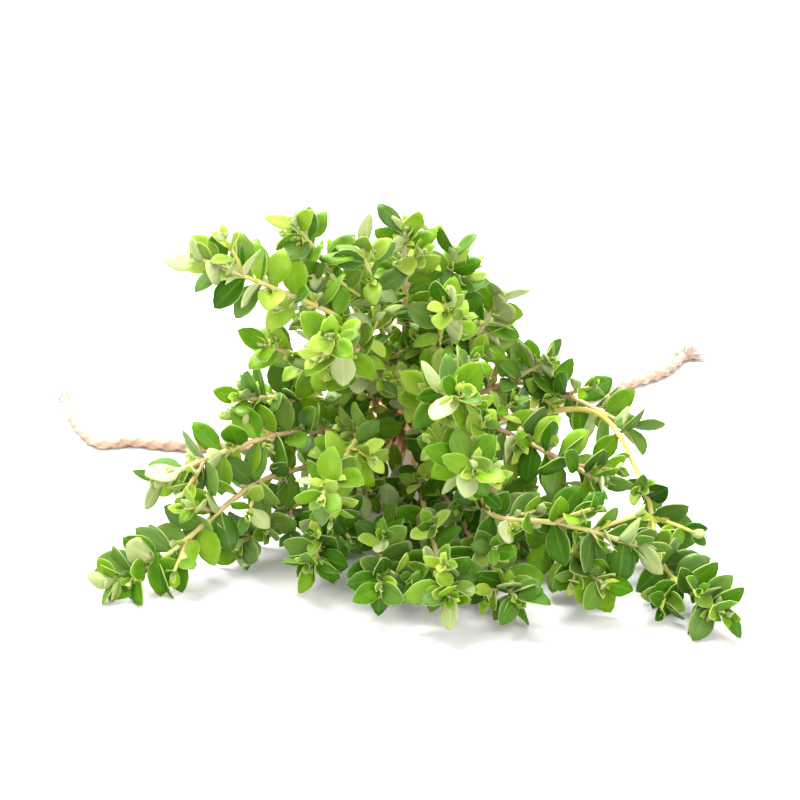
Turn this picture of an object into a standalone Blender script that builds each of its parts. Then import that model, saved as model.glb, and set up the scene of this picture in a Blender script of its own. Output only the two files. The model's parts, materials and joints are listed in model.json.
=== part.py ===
# Lemon thyme bundle: leafy sprigs held by three turns of twine, lying on a flat surface.
# Lengths are in millimetres and angles in degrees. to_object() turns lengths into metres.
# +Z is up, the leafy tips point along -Y and the cut ends along +Y. The origin is on the
# surface, straight under the middle of the tie.

import math
import random

import bmesh
import bpy
from mathutils import Matrix, Quaternion, Vector
from mathutils.bvhtree import BVHTree

METRES = 0.001  # one millimetre
GAP = 0.3  # kept between pieces that aren't joined
SHARP_ANGLE = 65  # the twine's edges are smoother than this
SEED = 41

# Stems, square in section as thyme stems are
STEM_RADIUS = 0.9  # at the tie, to the corners
STEM_TIP_RADIUS = 0.45
STEM_SIDES = 4
ROUTE_STEP = 2.0  # between the points of a route
STEM_SECTION_LENGTH = 11.5  # between the bends of a stem
RING_COUNTS = (16, 8, 2)  # stems in the outer ring, the inner ring and the core
RING_RADII = (5.55, 3.32, 1.1)
RING_STARTS = (-11.25, 0.0, 0.0)  # where each ring begins, from +X
TIE_HALF_LENGTH = 6.0  # the stems run straight and level this far each side of the tie
CUT_LENGTHS = (33.0, 44.0)  # from the tie to the cut ends
CUT_SPLAYS = (1.33, 1.55)  # how much further apart the stems are at the cut ends
CUT_LOWEST = 1.3  # least height of a stem's middle at its cut end
FIRST_PULL = 0.9  # how straight a stem leaves the tie, as a share of its first span
FIXED_POINTS = 3  # points of a route that stay where the tie holds them
EASED_POINTS = 4  # points after those that move less
STEM_CLEARANCE = 2.9  # least distance between the middles of two stems away from the tie
CLEARANCE_GROWTH = 0.06  # how much of it is won from one point of a route to the next
SPREAD_ROUNDS = 60
SPREAD_REACH = 2  # a push is shared with this many points each side

# Leaves, in opposite pairs, each pair a quarter turn from the last
NODE_DISTANCES = (1.2, 5.2, 11.0, 19.0, 29.0, 40.0, 52.0, 65.0)  # from the tip
BARE_LENGTH = 14.0  # nothing grows on a stem this close to the tie's front
LEAF_LENGTHS = (5.2, 7.2, 8.6, 9.4, 9.6, 9.2, 8.6, 8.0)  # for the same pairs
LEAF_LEANS = (26, 44, 58, 64, 66, 68, 68, 70)  # from the stem's direction
LEAF_SPREAD = (0.92, 1.08)  # real lengths, as a share of those
LEAF_OUTLINE = ((0.34, 0.27, 0.0), (0.68, 0.26, 0.05))  # shares: along, across, drop
SMALL_LEAF_OUTLINE = ((0.46, 0.31, 0.01),)
SMALL_LEAF = 5.5  # shorter leaves have the plainer outline
KEEL_ALONG = 0.36
LEAF_DEPTH = 0.75  # from the edges to the keel under the midrib
LEAF_CURL = 0.14  # drop of the point, as a share of the length
LEAF_TRIES = 26
LEAF_SHRINKS = (1.0, 0.82, 0.68)
LEAF_TURN = 75  # the furthest a leaf turns round its stem to find room
LEAF_TILT = 45  # the furthest it leans more or less
LEAF_TILT_JITTER = 6  # and how much any leaf does
LEAF_ROLL = 40  # the furthest it rolls about its midrib
LEAF_ROLL_JITTER = 12
LEAF_FREE = 0.3  # leaves of one sprig may cross nearer their roots than this share
LIGHT_PULL = 0.35  # how far the upper faces turn towards the light
PRESS_HEIGHT = 0.4  # a leaf that comes lower than this touches the surface

# Side shoots, from the axils of some pairs
SHOOT_PAIRS = (3, 5)  # which pairs of leaves have one
SHOOT_LENGTHS = (9.0, 14.0)
SHOOT_RADIUS = 0.5
SHOOT_TIP_RADIUS = 0.38
SHOOT_SIDES = 3
SHOOT_LEAN = 42
SHOOT_BEND = 0.35  # how much it turns back along its stem
SHOOT_RISE = 0.3  # and upwards
SHOOT_LOWEST = 2.5  # least height of its middle
SHOOT_MARGIN = 0.4
SHOOT_NODE_DISTANCES = (0.9, 3.6)
SHOOT_LEAF_LENGTHS = (4.4, 6.0)
SHOOT_LEAF_LEANS = (30, 52)
SHOOT_TRIES = 16

# Routes of the sprigs in front of the tie, the last point of each being its tip. They are
# listed ring by ring, from the right and over the top as seen from the tips.
OUTER_SPRIGS = (
    ((25, -24, 17), (43, -36, 24), (54, -54, 15), (60, -76, 9), (69, -99, 6)),
    ((27, -19, 24), (57, -36, 19)),
    ((20, -20, 22), (38, -28, 30)),
    ((12, -22, 28), (26, -26, 43)),
    ((8, -24, 36), (17, -32, 58)),
    ((1, -28, 40), (1, -42, 69)),
    ((-8, -30, 42), (-22, -50, 72)),
    ((-11, -48, 48), (-21, -55, 55), (-41, -62, 68)),
    ((-14, -34, 32), (-29, -58, 48)),
    ((-17, -30, 24), (-35, -52, 33)),
    ((-16, -32, 17), (-30, -55, 25), (-52, -66, 20)),
    ((-17, -38, 12), (-33, -62, 15), (-50, -74, 7), (-63, -81, 4)),
    ((-15, -36, 7), (-35, -68, 5)),
    ((-3, -50, 6), (-4, -94, 8)),
    ((12, -52, 6), (24, -97, 7)),
    ((14, -52, 14), (19, -78, 18), (33, -86, 18), (50, -88, 15)),
)
INNER_SPRIGS = (
    ((22, -48, 8), (42, -92, 8)),
    ((20, -38, 21), (32, -75, 31)),
    ((7, -34, 34), (10, -55, 57)),
    ((-3, -32, 36), (-8, -51, 68)),
    ((-8, -38, 33), (-15, -72, 55)),
    ((-8, -44, 22), (-16, -88, 26)),
    ((-9, -44, 9), (-19, -82, 7)),
    ((5, -52, 9), (10, -100, 9)),
)
CORE_SPRIGS = (
    ((8, -46, 22), (15, -95, 35)),
    ((4, -44, 30), (12, -86, 48)),
)

# Twine
TWINE_RADIUS = 1.3
TIE_TURNS = 3
TURN_PITCH = 2.4
TIE_FACETS = 16
TWINE_SIDES = 6
KNOT_LIFT = 1.17  # of the knot's middle over the tie's outside
KNOT_RING_RADIUS = 2.3
KNOT_RING_FACETS = 8
KNOT_TURNS = (  # where each turn is along X, and the direction it turns about
    (-1.3, (1, 0.25, 0)), (1.3, (1, -0.25, 0)), (0.0, (0.2, 0.55, 1)),
)
KNOT_CORE_DROP = 1.0
KNOT_REACH = 4.8  # from the middle of the knot to where each tail begins
TAIL_FIRST_STEP = 1.5  # so that a tail's end stands square to the knot
TAIL_POINT_STEP = 5.2  # two diameters
TAIL_FALL = (0.0, -0.2, -2.6, -6.8, -11.4, -15.6)  # the first points, lower than the knot
LEFT_TAIL = (  # as (x, y). After its fall the tail lies on the surface
    (-5.1, 0.0), (-8.3, 0.3), (-11.0, 0.5), (-12.6, 0.4), (-13.8, 0.1), (-16.0, -0.6),
    (-20.5, -1.8), (-29.0, -3.4), (-39.0, -4.3), (-49.0, -4.2), (-58.0, -2.6), (-67.0, 1.4),
    (-74.5, 4.6), (-80.5, 12.0), (-84.5, 22.0), (-88.0, 32.0),
)
RIGHT_TAIL = (
    (5.1, 0.0), (8.3, 0.9), (10.8, 2.4), (12.3, 3.7), (13.5, 4.9), (15.5, 6.6),
    (19.6, 9.6), (28.0, 15.4), (39.0, 22.0), (50.0, 28.6), (57.0, 34.0), (63.5, 40.5),
    (69.0, 48.0), (75.0, 56.5), (79.5, 64.0),
)

LEAF_GREEN = (0.13, 0.33, 0.045, 1)
TWINE_TAN = (0.62, 0.46, 0.33, 1)


def clear_scene():
    for obj in list(bpy.data.objects):
        bpy.data.objects.remove(obj, do_unlink=True)


def plain_material(name, color, roughness):
    material = bpy.data.materials.new(name)
    material.use_nodes = True
    shader = material.node_tree.nodes["Principled BSDF"]
    shader.inputs["Base Color"].default_value = color
    shader.inputs["Roughness"].default_value = roughness
    shader.inputs["Metallic"].default_value = 0.0
    return material


def to_object(name, mesh, material, smooth=False):
    """Links a mesh made in millimetres as an object in metres."""
    mesh.transform(Matrix.Scale(METRES, 4))
    if smooth:
        mesh.shade_smooth()
        mesh.set_sharp_from_angle(angle=math.radians(SHARP_ANGLE))
    mesh.materials.clear()
    mesh.materials.append(material)
    obj = bpy.data.objects.new(name, mesh)
    bpy.context.scene.collection.objects.link(obj)
    return obj


# Routes

def ring_slots():
    """Where each stem passes through the tie, as (x, z), in the order of the sprigs."""
    slots = []
    for count, radius, start in zip(RING_COUNTS, RING_RADII, RING_STARTS):
        for number in range(count):
            angle = math.radians(start) + math.tau * number / count
            slots.append((radius * math.cos(angle), tie_height() + radius * math.sin(angle)))
    return slots


def tie_ring_radius():
    """Radius of the twine's middle line, which leaves a gap round the outer ring of stems."""
    inside = RING_RADII[0] + STEM_RADIUS + GAP
    flat = math.cos(math.pi / TIE_FACETS)
    return inside / flat + TWINE_RADIUS * math.cos(math.pi / TWINE_SIDES)


def tie_outer_radius():
    return tie_ring_radius() + TWINE_RADIUS * math.cos(math.pi / TWINE_SIDES)


def tie_height():
    """Height of the tie's middle, with the lowest facet of each turn on the surface."""
    return tie_outer_radius() * math.cos(math.pi / TIE_FACETS)


def smooth_route(points, start, step):
    """Points about a step apart on a smooth curve through the given ones."""
    points = [Vector(p) for p in points]
    slopes = [Vector(start)]
    for before, after in zip(points, points[2:]):
        slopes.append((after - before) / 2)
    last = points[-1] - points[-2]
    slopes.append(last * 1.5 - slopes[-1] / 2)
    route = [points[0].copy()]
    for number, (a, b) in enumerate(zip(points, points[1:])):
        pieces = max(2, round((b - a).length / step))
        for piece in range(1, pieces + 1):
            t = piece / pieces
            square, cube = t * t, t * t * t
            route.append(
                a * (2 * cube - 3 * square + 1)
                + slopes[number] * (cube - 2 * square + t)
                + b * (3 * square - 2 * cube)
                + slopes[number + 1] * (cube - square)
            )
    return route


def sprig_routes():
    """The route of each stem in front of the tie, from the tie to its tip."""
    routes = []
    sprigs = OUTER_SPRIGS + INNER_SPRIGS + CORE_SPRIGS
    for (x, z), points in zip(ring_slots(), sprigs):
        front = Vector((x, -TIE_HALF_LENGTH, z))
        reach = (Vector(points[0]) - front).length
        start = (0, -FIRST_PULL * reach, 0)
        routes.append(smooth_route([front, *points], start, ROUTE_STEP))
    return routes


def spread(routes):
    """Bends the routes clear of each other, away from the tie, and above the surface."""
    for _ in range(SPREAD_ROUNDS):
        moves = [[Vector() for _ in route] for route in routes]
        for i, one in enumerate(routes):
            for j in range(i + 1, len(routes)):
                push_apart(one, routes[j], moves[i], moves[j])
        for route, shifts in zip(routes, moves):
            for k in range(FIXED_POINTS, len(route)):
                nearby = shifts[max(FIXED_POINTS, k - SPREAD_REACH):k + SPREAD_REACH + 1]
                ease = min(1.0, (k - FIXED_POINTS + 1) / EASED_POINTS)
                route[k] += sum(nearby, Vector()) / len(nearby) * ease
                route[k].z = max(route[k].z, STEM_RADIUS + GAP)


def push_apart(one, other, one_moves, other_moves):
    touching = 2 * STEM_RADIUS + GAP
    for a in range(FIXED_POINTS, len(one)):
        for b in range(FIXED_POINTS, len(other)):
            apart = one[a] - other[b]
            won = CLEARANCE_GROWTH * (min(a, b) - FIXED_POINTS)
            wanted = min(STEM_CLEARANCE, touching + won)
            if apart.length_squared >= wanted * wanted:
                continue
            push = apart.normalized() * (wanted - apart.length) / 2
            one_moves[a] += push
            other_moves[b] -= push


def thinned(route, section):
    """About one point of a route for each section of its length, with both its ends."""
    count = max(1, round((len(route) - 1) * ROUTE_STEP / section))
    return [route[round((len(route) - 1) * number / count)] for number in range(count + 1)]


class Stem:
    """A stem's middle line, with its direction and a side vector carried along it."""

    def __init__(self, points, radius, tip_radius, side, turn=0.0):
        self.points = points
        self.turn = turn
        self.radii = (radius, tip_radius)
        self.distances = [0.0]
        for a, b in zip(points, points[1:]):
            self.distances.append(self.distances[-1] + (b - a).length)
        self.length = self.distances[-1]
        ahead = [(b - a).normalized() for a, b in zip(points, points[1:])]
        self.tangents = [ahead[0]]
        self.tangents += [(a + b).normalized() for a, b in zip(ahead, ahead[1:])]
        self.tangents.append(ahead[-1])
        side = (side - self.tangents[0] * side.dot(self.tangents[0])).normalized()
        self.sides = [side]
        for a, b in zip(self.tangents, self.tangents[1:]):
            side = side.copy()
            side.rotate(a.rotation_difference(b))
            side = (side - b * side.dot(b)).normalized()
            self.sides.append(side)

    def at(self, distance):
        """Point, direction and side at a distance from the start."""
        last = len(self.points) - 2
        k = 0
        while k < last and self.distances[k + 1] < distance:
            k += 1
        t = (distance - self.distances[k]) / (self.distances[k + 1] - self.distances[k])
        point = self.points[k].lerp(self.points[k + 1], t)
        tangent = self.tangents[k].lerp(self.tangents[k + 1], t).normalized()
        side = self.sides[k].lerp(self.sides[k + 1], t)
        return point, tangent, (side - tangent * side.dot(tangent)).normalized()

    def radius_at(self, distance):
        share = distance / self.length
        return self.radii[0] * (1 - share) + self.radii[1] * share


# Closed shapes, as points and faces

def tube(stem, sides, margin=0.0):
    """A tapering solid round a stem's middle line."""
    points = []
    for k, middle in enumerate(stem.points):
        across = stem.tangents[k].cross(stem.sides[k])
        radius = stem.radius_at(stem.distances[k]) + margin
        for corner in range(sides):
            angle = stem.turn + math.tau * (corner + 0.5) / sides
            offset = stem.sides[k] * math.cos(angle) + across * math.sin(angle)
            points.append(middle + offset * radius)
    faces = []
    for row in range(len(stem.points) - 1):
        for corner in range(sides):
            a = row * sides + corner
            b = row * sides + (corner + 1) % sides
            faces.append((a, b, b + sides, a + sides))
    faces.append(tuple(reversed(range(sides))))
    faces.append(tuple(range(len(points) - sides, len(points))))
    return points, faces


# Faces of a leaf: first its upper side, then its underside with the keel as the last point
LEAF_FACES = (
    (0, 2, 1), (1, 2, 4), (1, 4, 3), (3, 4, 5),
    (2, 0, 6), (0, 1, 6), (1, 3, 6), (3, 5, 6), (5, 4, 6), (4, 2, 6),
)
SMALL_LEAF_FACES = ((0, 2, 1), (1, 2, 3), (2, 0, 4), (0, 1, 4), (1, 3, 4), (3, 2, 4))


def blade(length, start=0.0, margin=0.0):
    """A keeled leaf along +X, upper face to +Z, from a root inside the stem to its point."""
    small = length < SMALL_LEAF
    points = [(start, 0, 0)]
    for along, across, drop in SMALL_LEAF_OUTLINE if small else LEAF_OUTLINE:
        for edge in (1, -1):
            wide = edge * (length * across + margin)
            points.append((length * along, wide, -length * drop))
    points.append((length + margin, 0, -length * LEAF_CURL))
    points.append((length * KEEL_ALONG, 0, -LEAF_DEPTH - margin))
    return points, SMALL_LEAF_FACES if small else LEAF_FACES


def wide_blade(length, margin):
    """A leaf with a margin all round, to test what it would come too close to."""
    points, faces = blade(length, margin=margin)
    keel = points.pop()
    count = len(points)
    rim = (0, 2, 3, 1) if length < SMALL_LEAF else (0, 2, 4, 5, 3, 1)
    shell = [(x, y, z + margin) for x, y, z in points] + [(x, y, z - margin) for x, y, z in points]
    shell.append(keel)
    sides = [face for face in faces if count not in face]
    for a, b in zip(rim, rim[1:] + rim[:1]):
        sides += [(a + count, b + count, b, a), (b + count, a + count, 2 * count)]
    return shell, sides


def placed(shape, matrix):
    points, faces = shape
    return [matrix @ Vector(p) for p in points], faces


def pressed(points):
    """Brings a leaf's lowest point down to the surface where it nearly touches it."""
    lowest = min(points, key=lambda point: point.z)
    if lowest.z < PRESS_HEIGHT:
        lowest.z = 0.0
    return points


# Leaves that keep clear of each other

class Space:
    """What is already placed, so that new pieces keep clear of it."""

    CELL = 13.0

    def __init__(self):
        self.cells = {}
        self.stems = []

    def add_stem(self, sprig, shape):
        self.stems.append((sprig, BVHTree.FromPolygons(*shape)))

    def add_leaf(self, sprig, shape, free_shape):
        key = self.cell(shape[0][-1])
        own = BVHTree.FromPolygons(*free_shape)
        self.cells.setdefault(key, []).append((sprig, BVHTree.FromPolygons(*shape), own))

    def cell(self, point):
        return tuple(math.floor(c / self.CELL) for c in point)

    def hits_stem(self, sprig, tree):
        return any(tree.overlap(other) for owner, other in self.stems if owner != sprig)

    def leaf_hits(self, sprig, middle, tree, free_tree):
        """Whether a leaf crosses another sprig's leaves, and how many of its own sprig's."""
        x, y, z = self.cell(middle)
        own_hits = 0
        for dx in (-1, 0, 1):
            for dy in (-1, 0, 1):
                for dz in (-1, 0, 1):
                    for owner, other, other_free in self.cells.get((x + dx, y + dy, z + dz), ()):
                        if owner != sprig:
                            if tree.overlap(other):
                                return True, own_hits
                        elif free_tree.overlap(other_free):
                            own_hits += 1
        return False, own_hits


def leaf_matrix(point, tangent, outward, lean, roll):
    """Stands a blade on a stem, leaning from the stem's direction, upper face to the tip."""
    along = outward * math.sin(lean) + tangent * math.cos(lean)
    upper = tangent * math.sin(lean) - outward * math.cos(lean)
    upper = upper + Vector((0, 0, LIGHT_PULL))
    upper = (upper - along * upper.dot(along)).normalized()
    upper.rotate(Quaternion(along, roll))
    across = upper.cross(along)
    matrix = Matrix((along, across, upper)).transposed().to_4x4()
    matrix.translation = point
    return matrix


def place_leaf(space, sprig, stem, distance, angle, lean, length, rng):
    """Tries a leaf in its own place, then turned and leaned more and more, then smaller."""
    point, tangent, side = stem.at(distance)
    for shrink in LEAF_SHRINKS:
        size = length * shrink
        fallback = None
        for number in range(LEAF_TRIES):
            reach = number / LEAF_TRIES
            turn = angle + math.radians(LEAF_TURN) * reach * rng.uniform(-1, 1)
            tilt = lean + LEAF_TILT * reach * rng.uniform(-1, 1)
            tilt += LEAF_TILT_JITTER * rng.uniform(-1, 1)
            roll = math.radians(LEAF_ROLL_JITTER + LEAF_ROLL * reach) * rng.uniform(-1, 1)
            outward = side.copy()
            outward.rotate(Quaternion(tangent, turn))
            matrix = leaf_matrix(point, tangent, outward, math.radians(tilt), roll)
            points, faces = placed(blade(size), matrix)
            if min(p.z for p in points) < 0:
                continue
            wide = BVHTree.FromPolygons(*placed(wide_blade(size, GAP), matrix))
            if space.hits_stem(sprig, wide):
                continue
            free = placed(blade(size, start=size * LEAF_FREE), matrix)
            blocked, own_hits = space.leaf_hits(
                sprig, points[-1], wide, BVHTree.FromPolygons(*free)
            )
            if blocked:
                continue
            found = (matrix, size, (pressed(points), faces), free)
            if not own_hits:
                return keep_leaf(space, sprig, found)
            fallback = fallback or found
        if fallback:
            return keep_leaf(space, sprig, fallback)
    return None


def keep_leaf(space, sprig, found):
    matrix, size, shape, free = found
    space.add_leaf(sprig, shape, free)
    return matrix, size, shape


def place_pairs(space, sprig, stem, nodes, phase, rng):
    """Opposite leaves at each (distance from the tip, length, lean), a quarter turn apart."""
    leaves = []
    for number, (distance, length, lean) in enumerate(nodes):
        for opposite in (0, math.pi):
            leaf = place_leaf(
                space, sprig, stem, stem.length - distance,
                phase + opposite + number * math.pi / 2, lean,
                length * rng.uniform(*LEAF_SPREAD), rng,
            )
            if leaf:
                leaves.append(leaf)
    return leaves


def sprig_nodes(stem):
    """The pairs of leaves that fit in front of the tie. A stem's third point is its front."""
    leafy = stem.length - stem.distances[2] - BARE_LENGTH
    return [node for node in zip(NODE_DISTANCES, LEAF_LENGTHS, LEAF_LEANS) if node[0] < leafy]


def place_shoot(space, sprig, stem, distance, angle, rng):
    """A side shoot that bends towards the tip, clear of the other sprigs' stems."""
    point, tangent, side = stem.at(distance)
    for number in range(SHOOT_TRIES):
        reach = number / SHOOT_TRIES
        outward = side.copy()
        outward.rotate(Quaternion(tangent, angle + math.pi * reach * rng.uniform(-1, 1)))
        length = rng.uniform(*SHOOT_LENGTHS)
        lean = math.radians(SHOOT_LEAN)
        ahead = outward * math.sin(lean) + tangent * math.cos(lean)
        bend = (tangent + Vector((0, 0, SHOOT_RISE))) * SHOOT_BEND
        points = [point + (ahead + bend * t / 2) * length * t for t in (0, 0.5, 1)]
        if min(p.z for p in points) < SHOOT_LOWEST:
            continue
        shoot = Stem(points, SHOOT_RADIUS, SHOOT_TIP_RADIUS, tangent.cross(ahead))
        wide = tube(shoot, SHOOT_SIDES, margin=SHOOT_MARGIN)
        if not space.hits_stem(sprig, BVHTree.FromPolygons(*wide)):
            space.add_stem(sprig, tube(shoot, SHOOT_SIDES))
            return shoot
    return None


def grow():
    """Every sprig as (whole stem, side shoots, leaves)."""
    rng = random.Random(SEED)
    routes = sprig_routes()
    spread(routes)
    space = Space()
    phases = [rng.uniform(0, math.tau) for _ in routes]
    stems = []
    for sprig, route in enumerate(routes):
        x, z = route[0].x, route[0].z
        cut = rng.uniform(*CUT_LENGTHS)
        splay = rng.uniform(*CUT_SPLAYS)
        height = tie_height() + (z - tie_height()) * splay
        end = Vector((x * splay, cut, max(height, CUT_LOWEST)))
        back = Vector((x, TIE_HALF_LENGTH, z))
        route = [end, back] + thinned(route, STEM_SECTION_LENGTH)
        whole = Stem(route, STEM_RADIUS, STEM_TIP_RADIUS, Vector((1, 0, 0)), phases[sprig])
        stems.append(whole)
        space.add_stem(sprig, tube(whole, STEM_SIDES))
    shoots = []
    for sprig, stem in enumerate(stems):
        own = []
        nodes = sprig_nodes(stem)
        for number in SHOOT_PAIRS:
            if number < len(nodes):
                angle = phases[sprig] + number * math.pi / 2 + rng.choice((0, math.pi))
                distance = stem.length - nodes[number][0]
                own.append(place_shoot(space, sprig, stem, distance, angle, rng))
        shoots.append([shoot for shoot in own if shoot])
    grown = []
    for sprig, stem in enumerate(stems):
        leaves = place_pairs(space, sprig, stem, sprig_nodes(stem), phases[sprig], rng)
        for shoot in shoots[sprig]:
            nodes = zip(SHOOT_NODE_DISTANCES, SHOOT_LEAF_LENGTHS, SHOOT_LEAF_LEANS)
            leaves += place_pairs(space, sprig, shoot, nodes, rng.uniform(0, math.tau), rng)
        grown.append((stem, shoots[sprig], leaves))
    return grown


# Objects

def mesh_of(name, shape):
    points, faces = shape
    mesh = bpy.data.meshes.new(name)
    mesh.from_pydata([tuple(p) for p in points], [], faces)
    return mesh


def is_one_body(mesh):
    """Whether every edge has two faces and every face is reached from the first."""
    bm = bmesh.new()
    bm.from_mesh(mesh)
    closed = bool(bm.edges) and all(edge.is_manifold for edge in bm.edges)
    reached = set(bm.verts[:1])
    ahead = list(reached)
    while ahead:
        for edge in ahead.pop().link_edges:
            fresh = set(edge.verts) - reached
            reached |= fresh
            ahead += fresh
    whole = len(reached) == len(bm.verts)
    bm.free()
    return closed and whole


def union(name, shapes):
    """One closed mesh from shapes that cross each other."""
    base = bpy.data.objects.new(name, mesh_of(name, shapes[0]))
    bpy.context.scene.collection.objects.link(base)
    joined = bpy.data.collections.new(name + "_joined")
    bpy.context.scene.collection.children.link(joined)
    for shape in shapes[1:]:
        piece = bpy.data.objects.new(name + "_piece", mesh_of(name + "_piece", shape))
        joined.objects.link(piece)
    boolean = base.modifiers.new("Union", "BOOLEAN")
    boolean.operation = "UNION"
    boolean.operand_type = "COLLECTION"
    boolean.collection = joined
    for solver in ("EXACT", "MANIFOLD"):
        boolean.solver = solver
        bpy.context.view_layer.update()
        graph = bpy.context.evaluated_depsgraph_get()
        mesh = bpy.data.meshes.new_from_object(base.evaluated_get(graph))
        if is_one_body(mesh):
            break
    for piece in list(joined.objects):
        bpy.data.objects.remove(piece, do_unlink=True)
    bpy.data.collections.remove(joined)
    bpy.data.objects.remove(base, do_unlink=True)
    mesh.name = name
    return mesh


def make_sprigs(material):
    for number, (stem, shoots, leaves) in enumerate(grow(), start=1):
        shapes = [tube(stem, STEM_SIDES)]
        shapes += [tube(shoot, SHOOT_SIDES) for shoot in shoots]
        shapes += [shape for _, _, shape in leaves]
        name = f"sprig_{number:02d}"
        to_object(name, union(name, shapes), material)


def twine_ring(center, axis, radius, thickness, facets, sides):
    """A closed turn of twine round an axis, a facet of it facing -Z where the axis is level."""
    bm = bmesh.new()
    turn = Vector((0, 1, 0)).rotation_difference(Vector(axis)).to_matrix().to_4x4()
    section = bmesh.ops.create_circle(bm, segments=sides, radius=thickness)["verts"]
    stand = Matrix.Rotation(-math.pi / 2 - math.pi / facets, 4, "Y")
    out = Matrix.Translation((radius, 0, 0))
    bmesh.ops.transform(bm, matrix=stand @ out, verts=section)
    bmesh.ops.spin(
        bm, geom=bm.verts[:] + bm.edges[:], cent=(0, 0, 0), axis=(0, 1, 0),
        angle=math.tau, steps=facets, use_merge=True, use_duplicate=False,
    )
    bmesh.ops.recalc_face_normals(bm, faces=bm.faces[:])
    bmesh.ops.transform(bm, matrix=Matrix.Translation(center) @ turn, verts=bm.verts[:])
    bm.verts.index_update()
    points = [v.co.copy() for v in bm.verts]
    faces = [tuple(v.index for v in f.verts) for f in bm.faces]
    bm.free()
    return points, faces


def knot_core(center, radius):
    """Fills the knot where its turns meet."""
    bm = bmesh.new()
    bmesh.ops.create_icosphere(bm, subdivisions=2, radius=radius)
    bmesh.ops.transform(bm, matrix=Matrix.Translation(center), verts=bm.verts[:])
    points = [v.co.copy() for v in bm.verts]
    faces = [tuple(v.index for v in f.verts) for f in bm.faces]
    bm.free()
    return points, faces


def knot_height():
    return tie_height() + tie_outer_radius() + KNOT_LIFT


def make_tie(material):
    """Three turns round the stems, with the knot on top."""
    shapes = []
    for turn in range(TIE_TURNS):
        y = TURN_PITCH * (turn - (TIE_TURNS - 1) / 2)
        shapes.append(
            twine_ring((0, y, tie_height()), (0, 1, 0), tie_ring_radius(), TWINE_RADIUS,
                       TIE_FACETS, TWINE_SIDES)
        )
    height = knot_height()
    for x, axis in KNOT_TURNS:
        shapes.append(
            twine_ring((x, 0, height), axis, KNOT_RING_RADIUS, TWINE_RADIUS,
                       KNOT_RING_FACETS, TWINE_SIDES)
        )
    points = [Vector((end * KNOT_REACH, 0, height)) for end in (-1, 1)]
    through = Stem(points, TWINE_RADIUS, TWINE_RADIUS, Vector((0, 1, 0)))
    shapes.append(tube(through, TWINE_SIDES + 1))
    shapes.append(knot_core((0, 0, height - KNOT_CORE_DROP), KNOT_RING_RADIUS))
    to_object("twine_tie", union("twine_tie", shapes), material, smooth=True)


def tail_route(tail):
    """Points at even steps on the smooth curve of a tail, above the surface all the way."""
    points = [Vector((x, y, TWINE_RADIUS)) for x, y in tail]
    for point, fall in zip(points, TAIL_FALL):
        point.z = knot_height() + fall
    route = smooth_route(points, (points[1] - points[0]) * FIRST_PULL, ROUTE_STEP)
    for point in route:
        point.z = max(point.z, TWINE_RADIUS)
    line = Stem(route, TWINE_RADIUS, TWINE_RADIUS, Vector((0, 1, 0)))
    rest = line.length - TAIL_FIRST_STEP
    count = round(rest / TAIL_POINT_STEP)
    steps = [TAIL_FIRST_STEP + rest * number / count for number in range(count + 1)]
    return [line.at(distance)[0] for distance in [0.0, *steps]]


def make_tail(name, tail, material):
    """A loose end of the twine, dropping beside the tie and lying on the surface."""
    route = tail_route(tail)
    curve = bpy.data.curves.new(name, "CURVE")
    curve.dimensions = "3D"
    curve.bevel_depth = TWINE_RADIUS * METRES
    curve.bevel_resolution = 2
    curve.use_fill_caps = True
    spline = curve.splines.new("POLY")
    spline.points.add(len(route) - 1)
    for target, point in zip(spline.points, route):
        target.co = (*(point * METRES), 1)
    curve.materials.append(material)
    obj = bpy.data.objects.new(name, curve)
    bpy.context.scene.collection.objects.link(obj)


def main():
    clear_scene()
    herb = plain_material("thyme", LEAF_GREEN, 0.5)
    twine = plain_material("twine", TWINE_TAN, 0.9)
    make_sprigs(herb)
    make_tie(twine)
    make_tail("twine_tail_left", LEFT_TAIL, twine)
    make_tail("twine_tail_right", RIGHT_TAIL, twine)


main()
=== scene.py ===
import json
import math
import random

import bmesh
import bpy
from mathutils import Matrix, Quaternion, Vector
from mathutils.bvhtree import BVHTree
from mathutils.geometry import intersect_point_line

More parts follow.
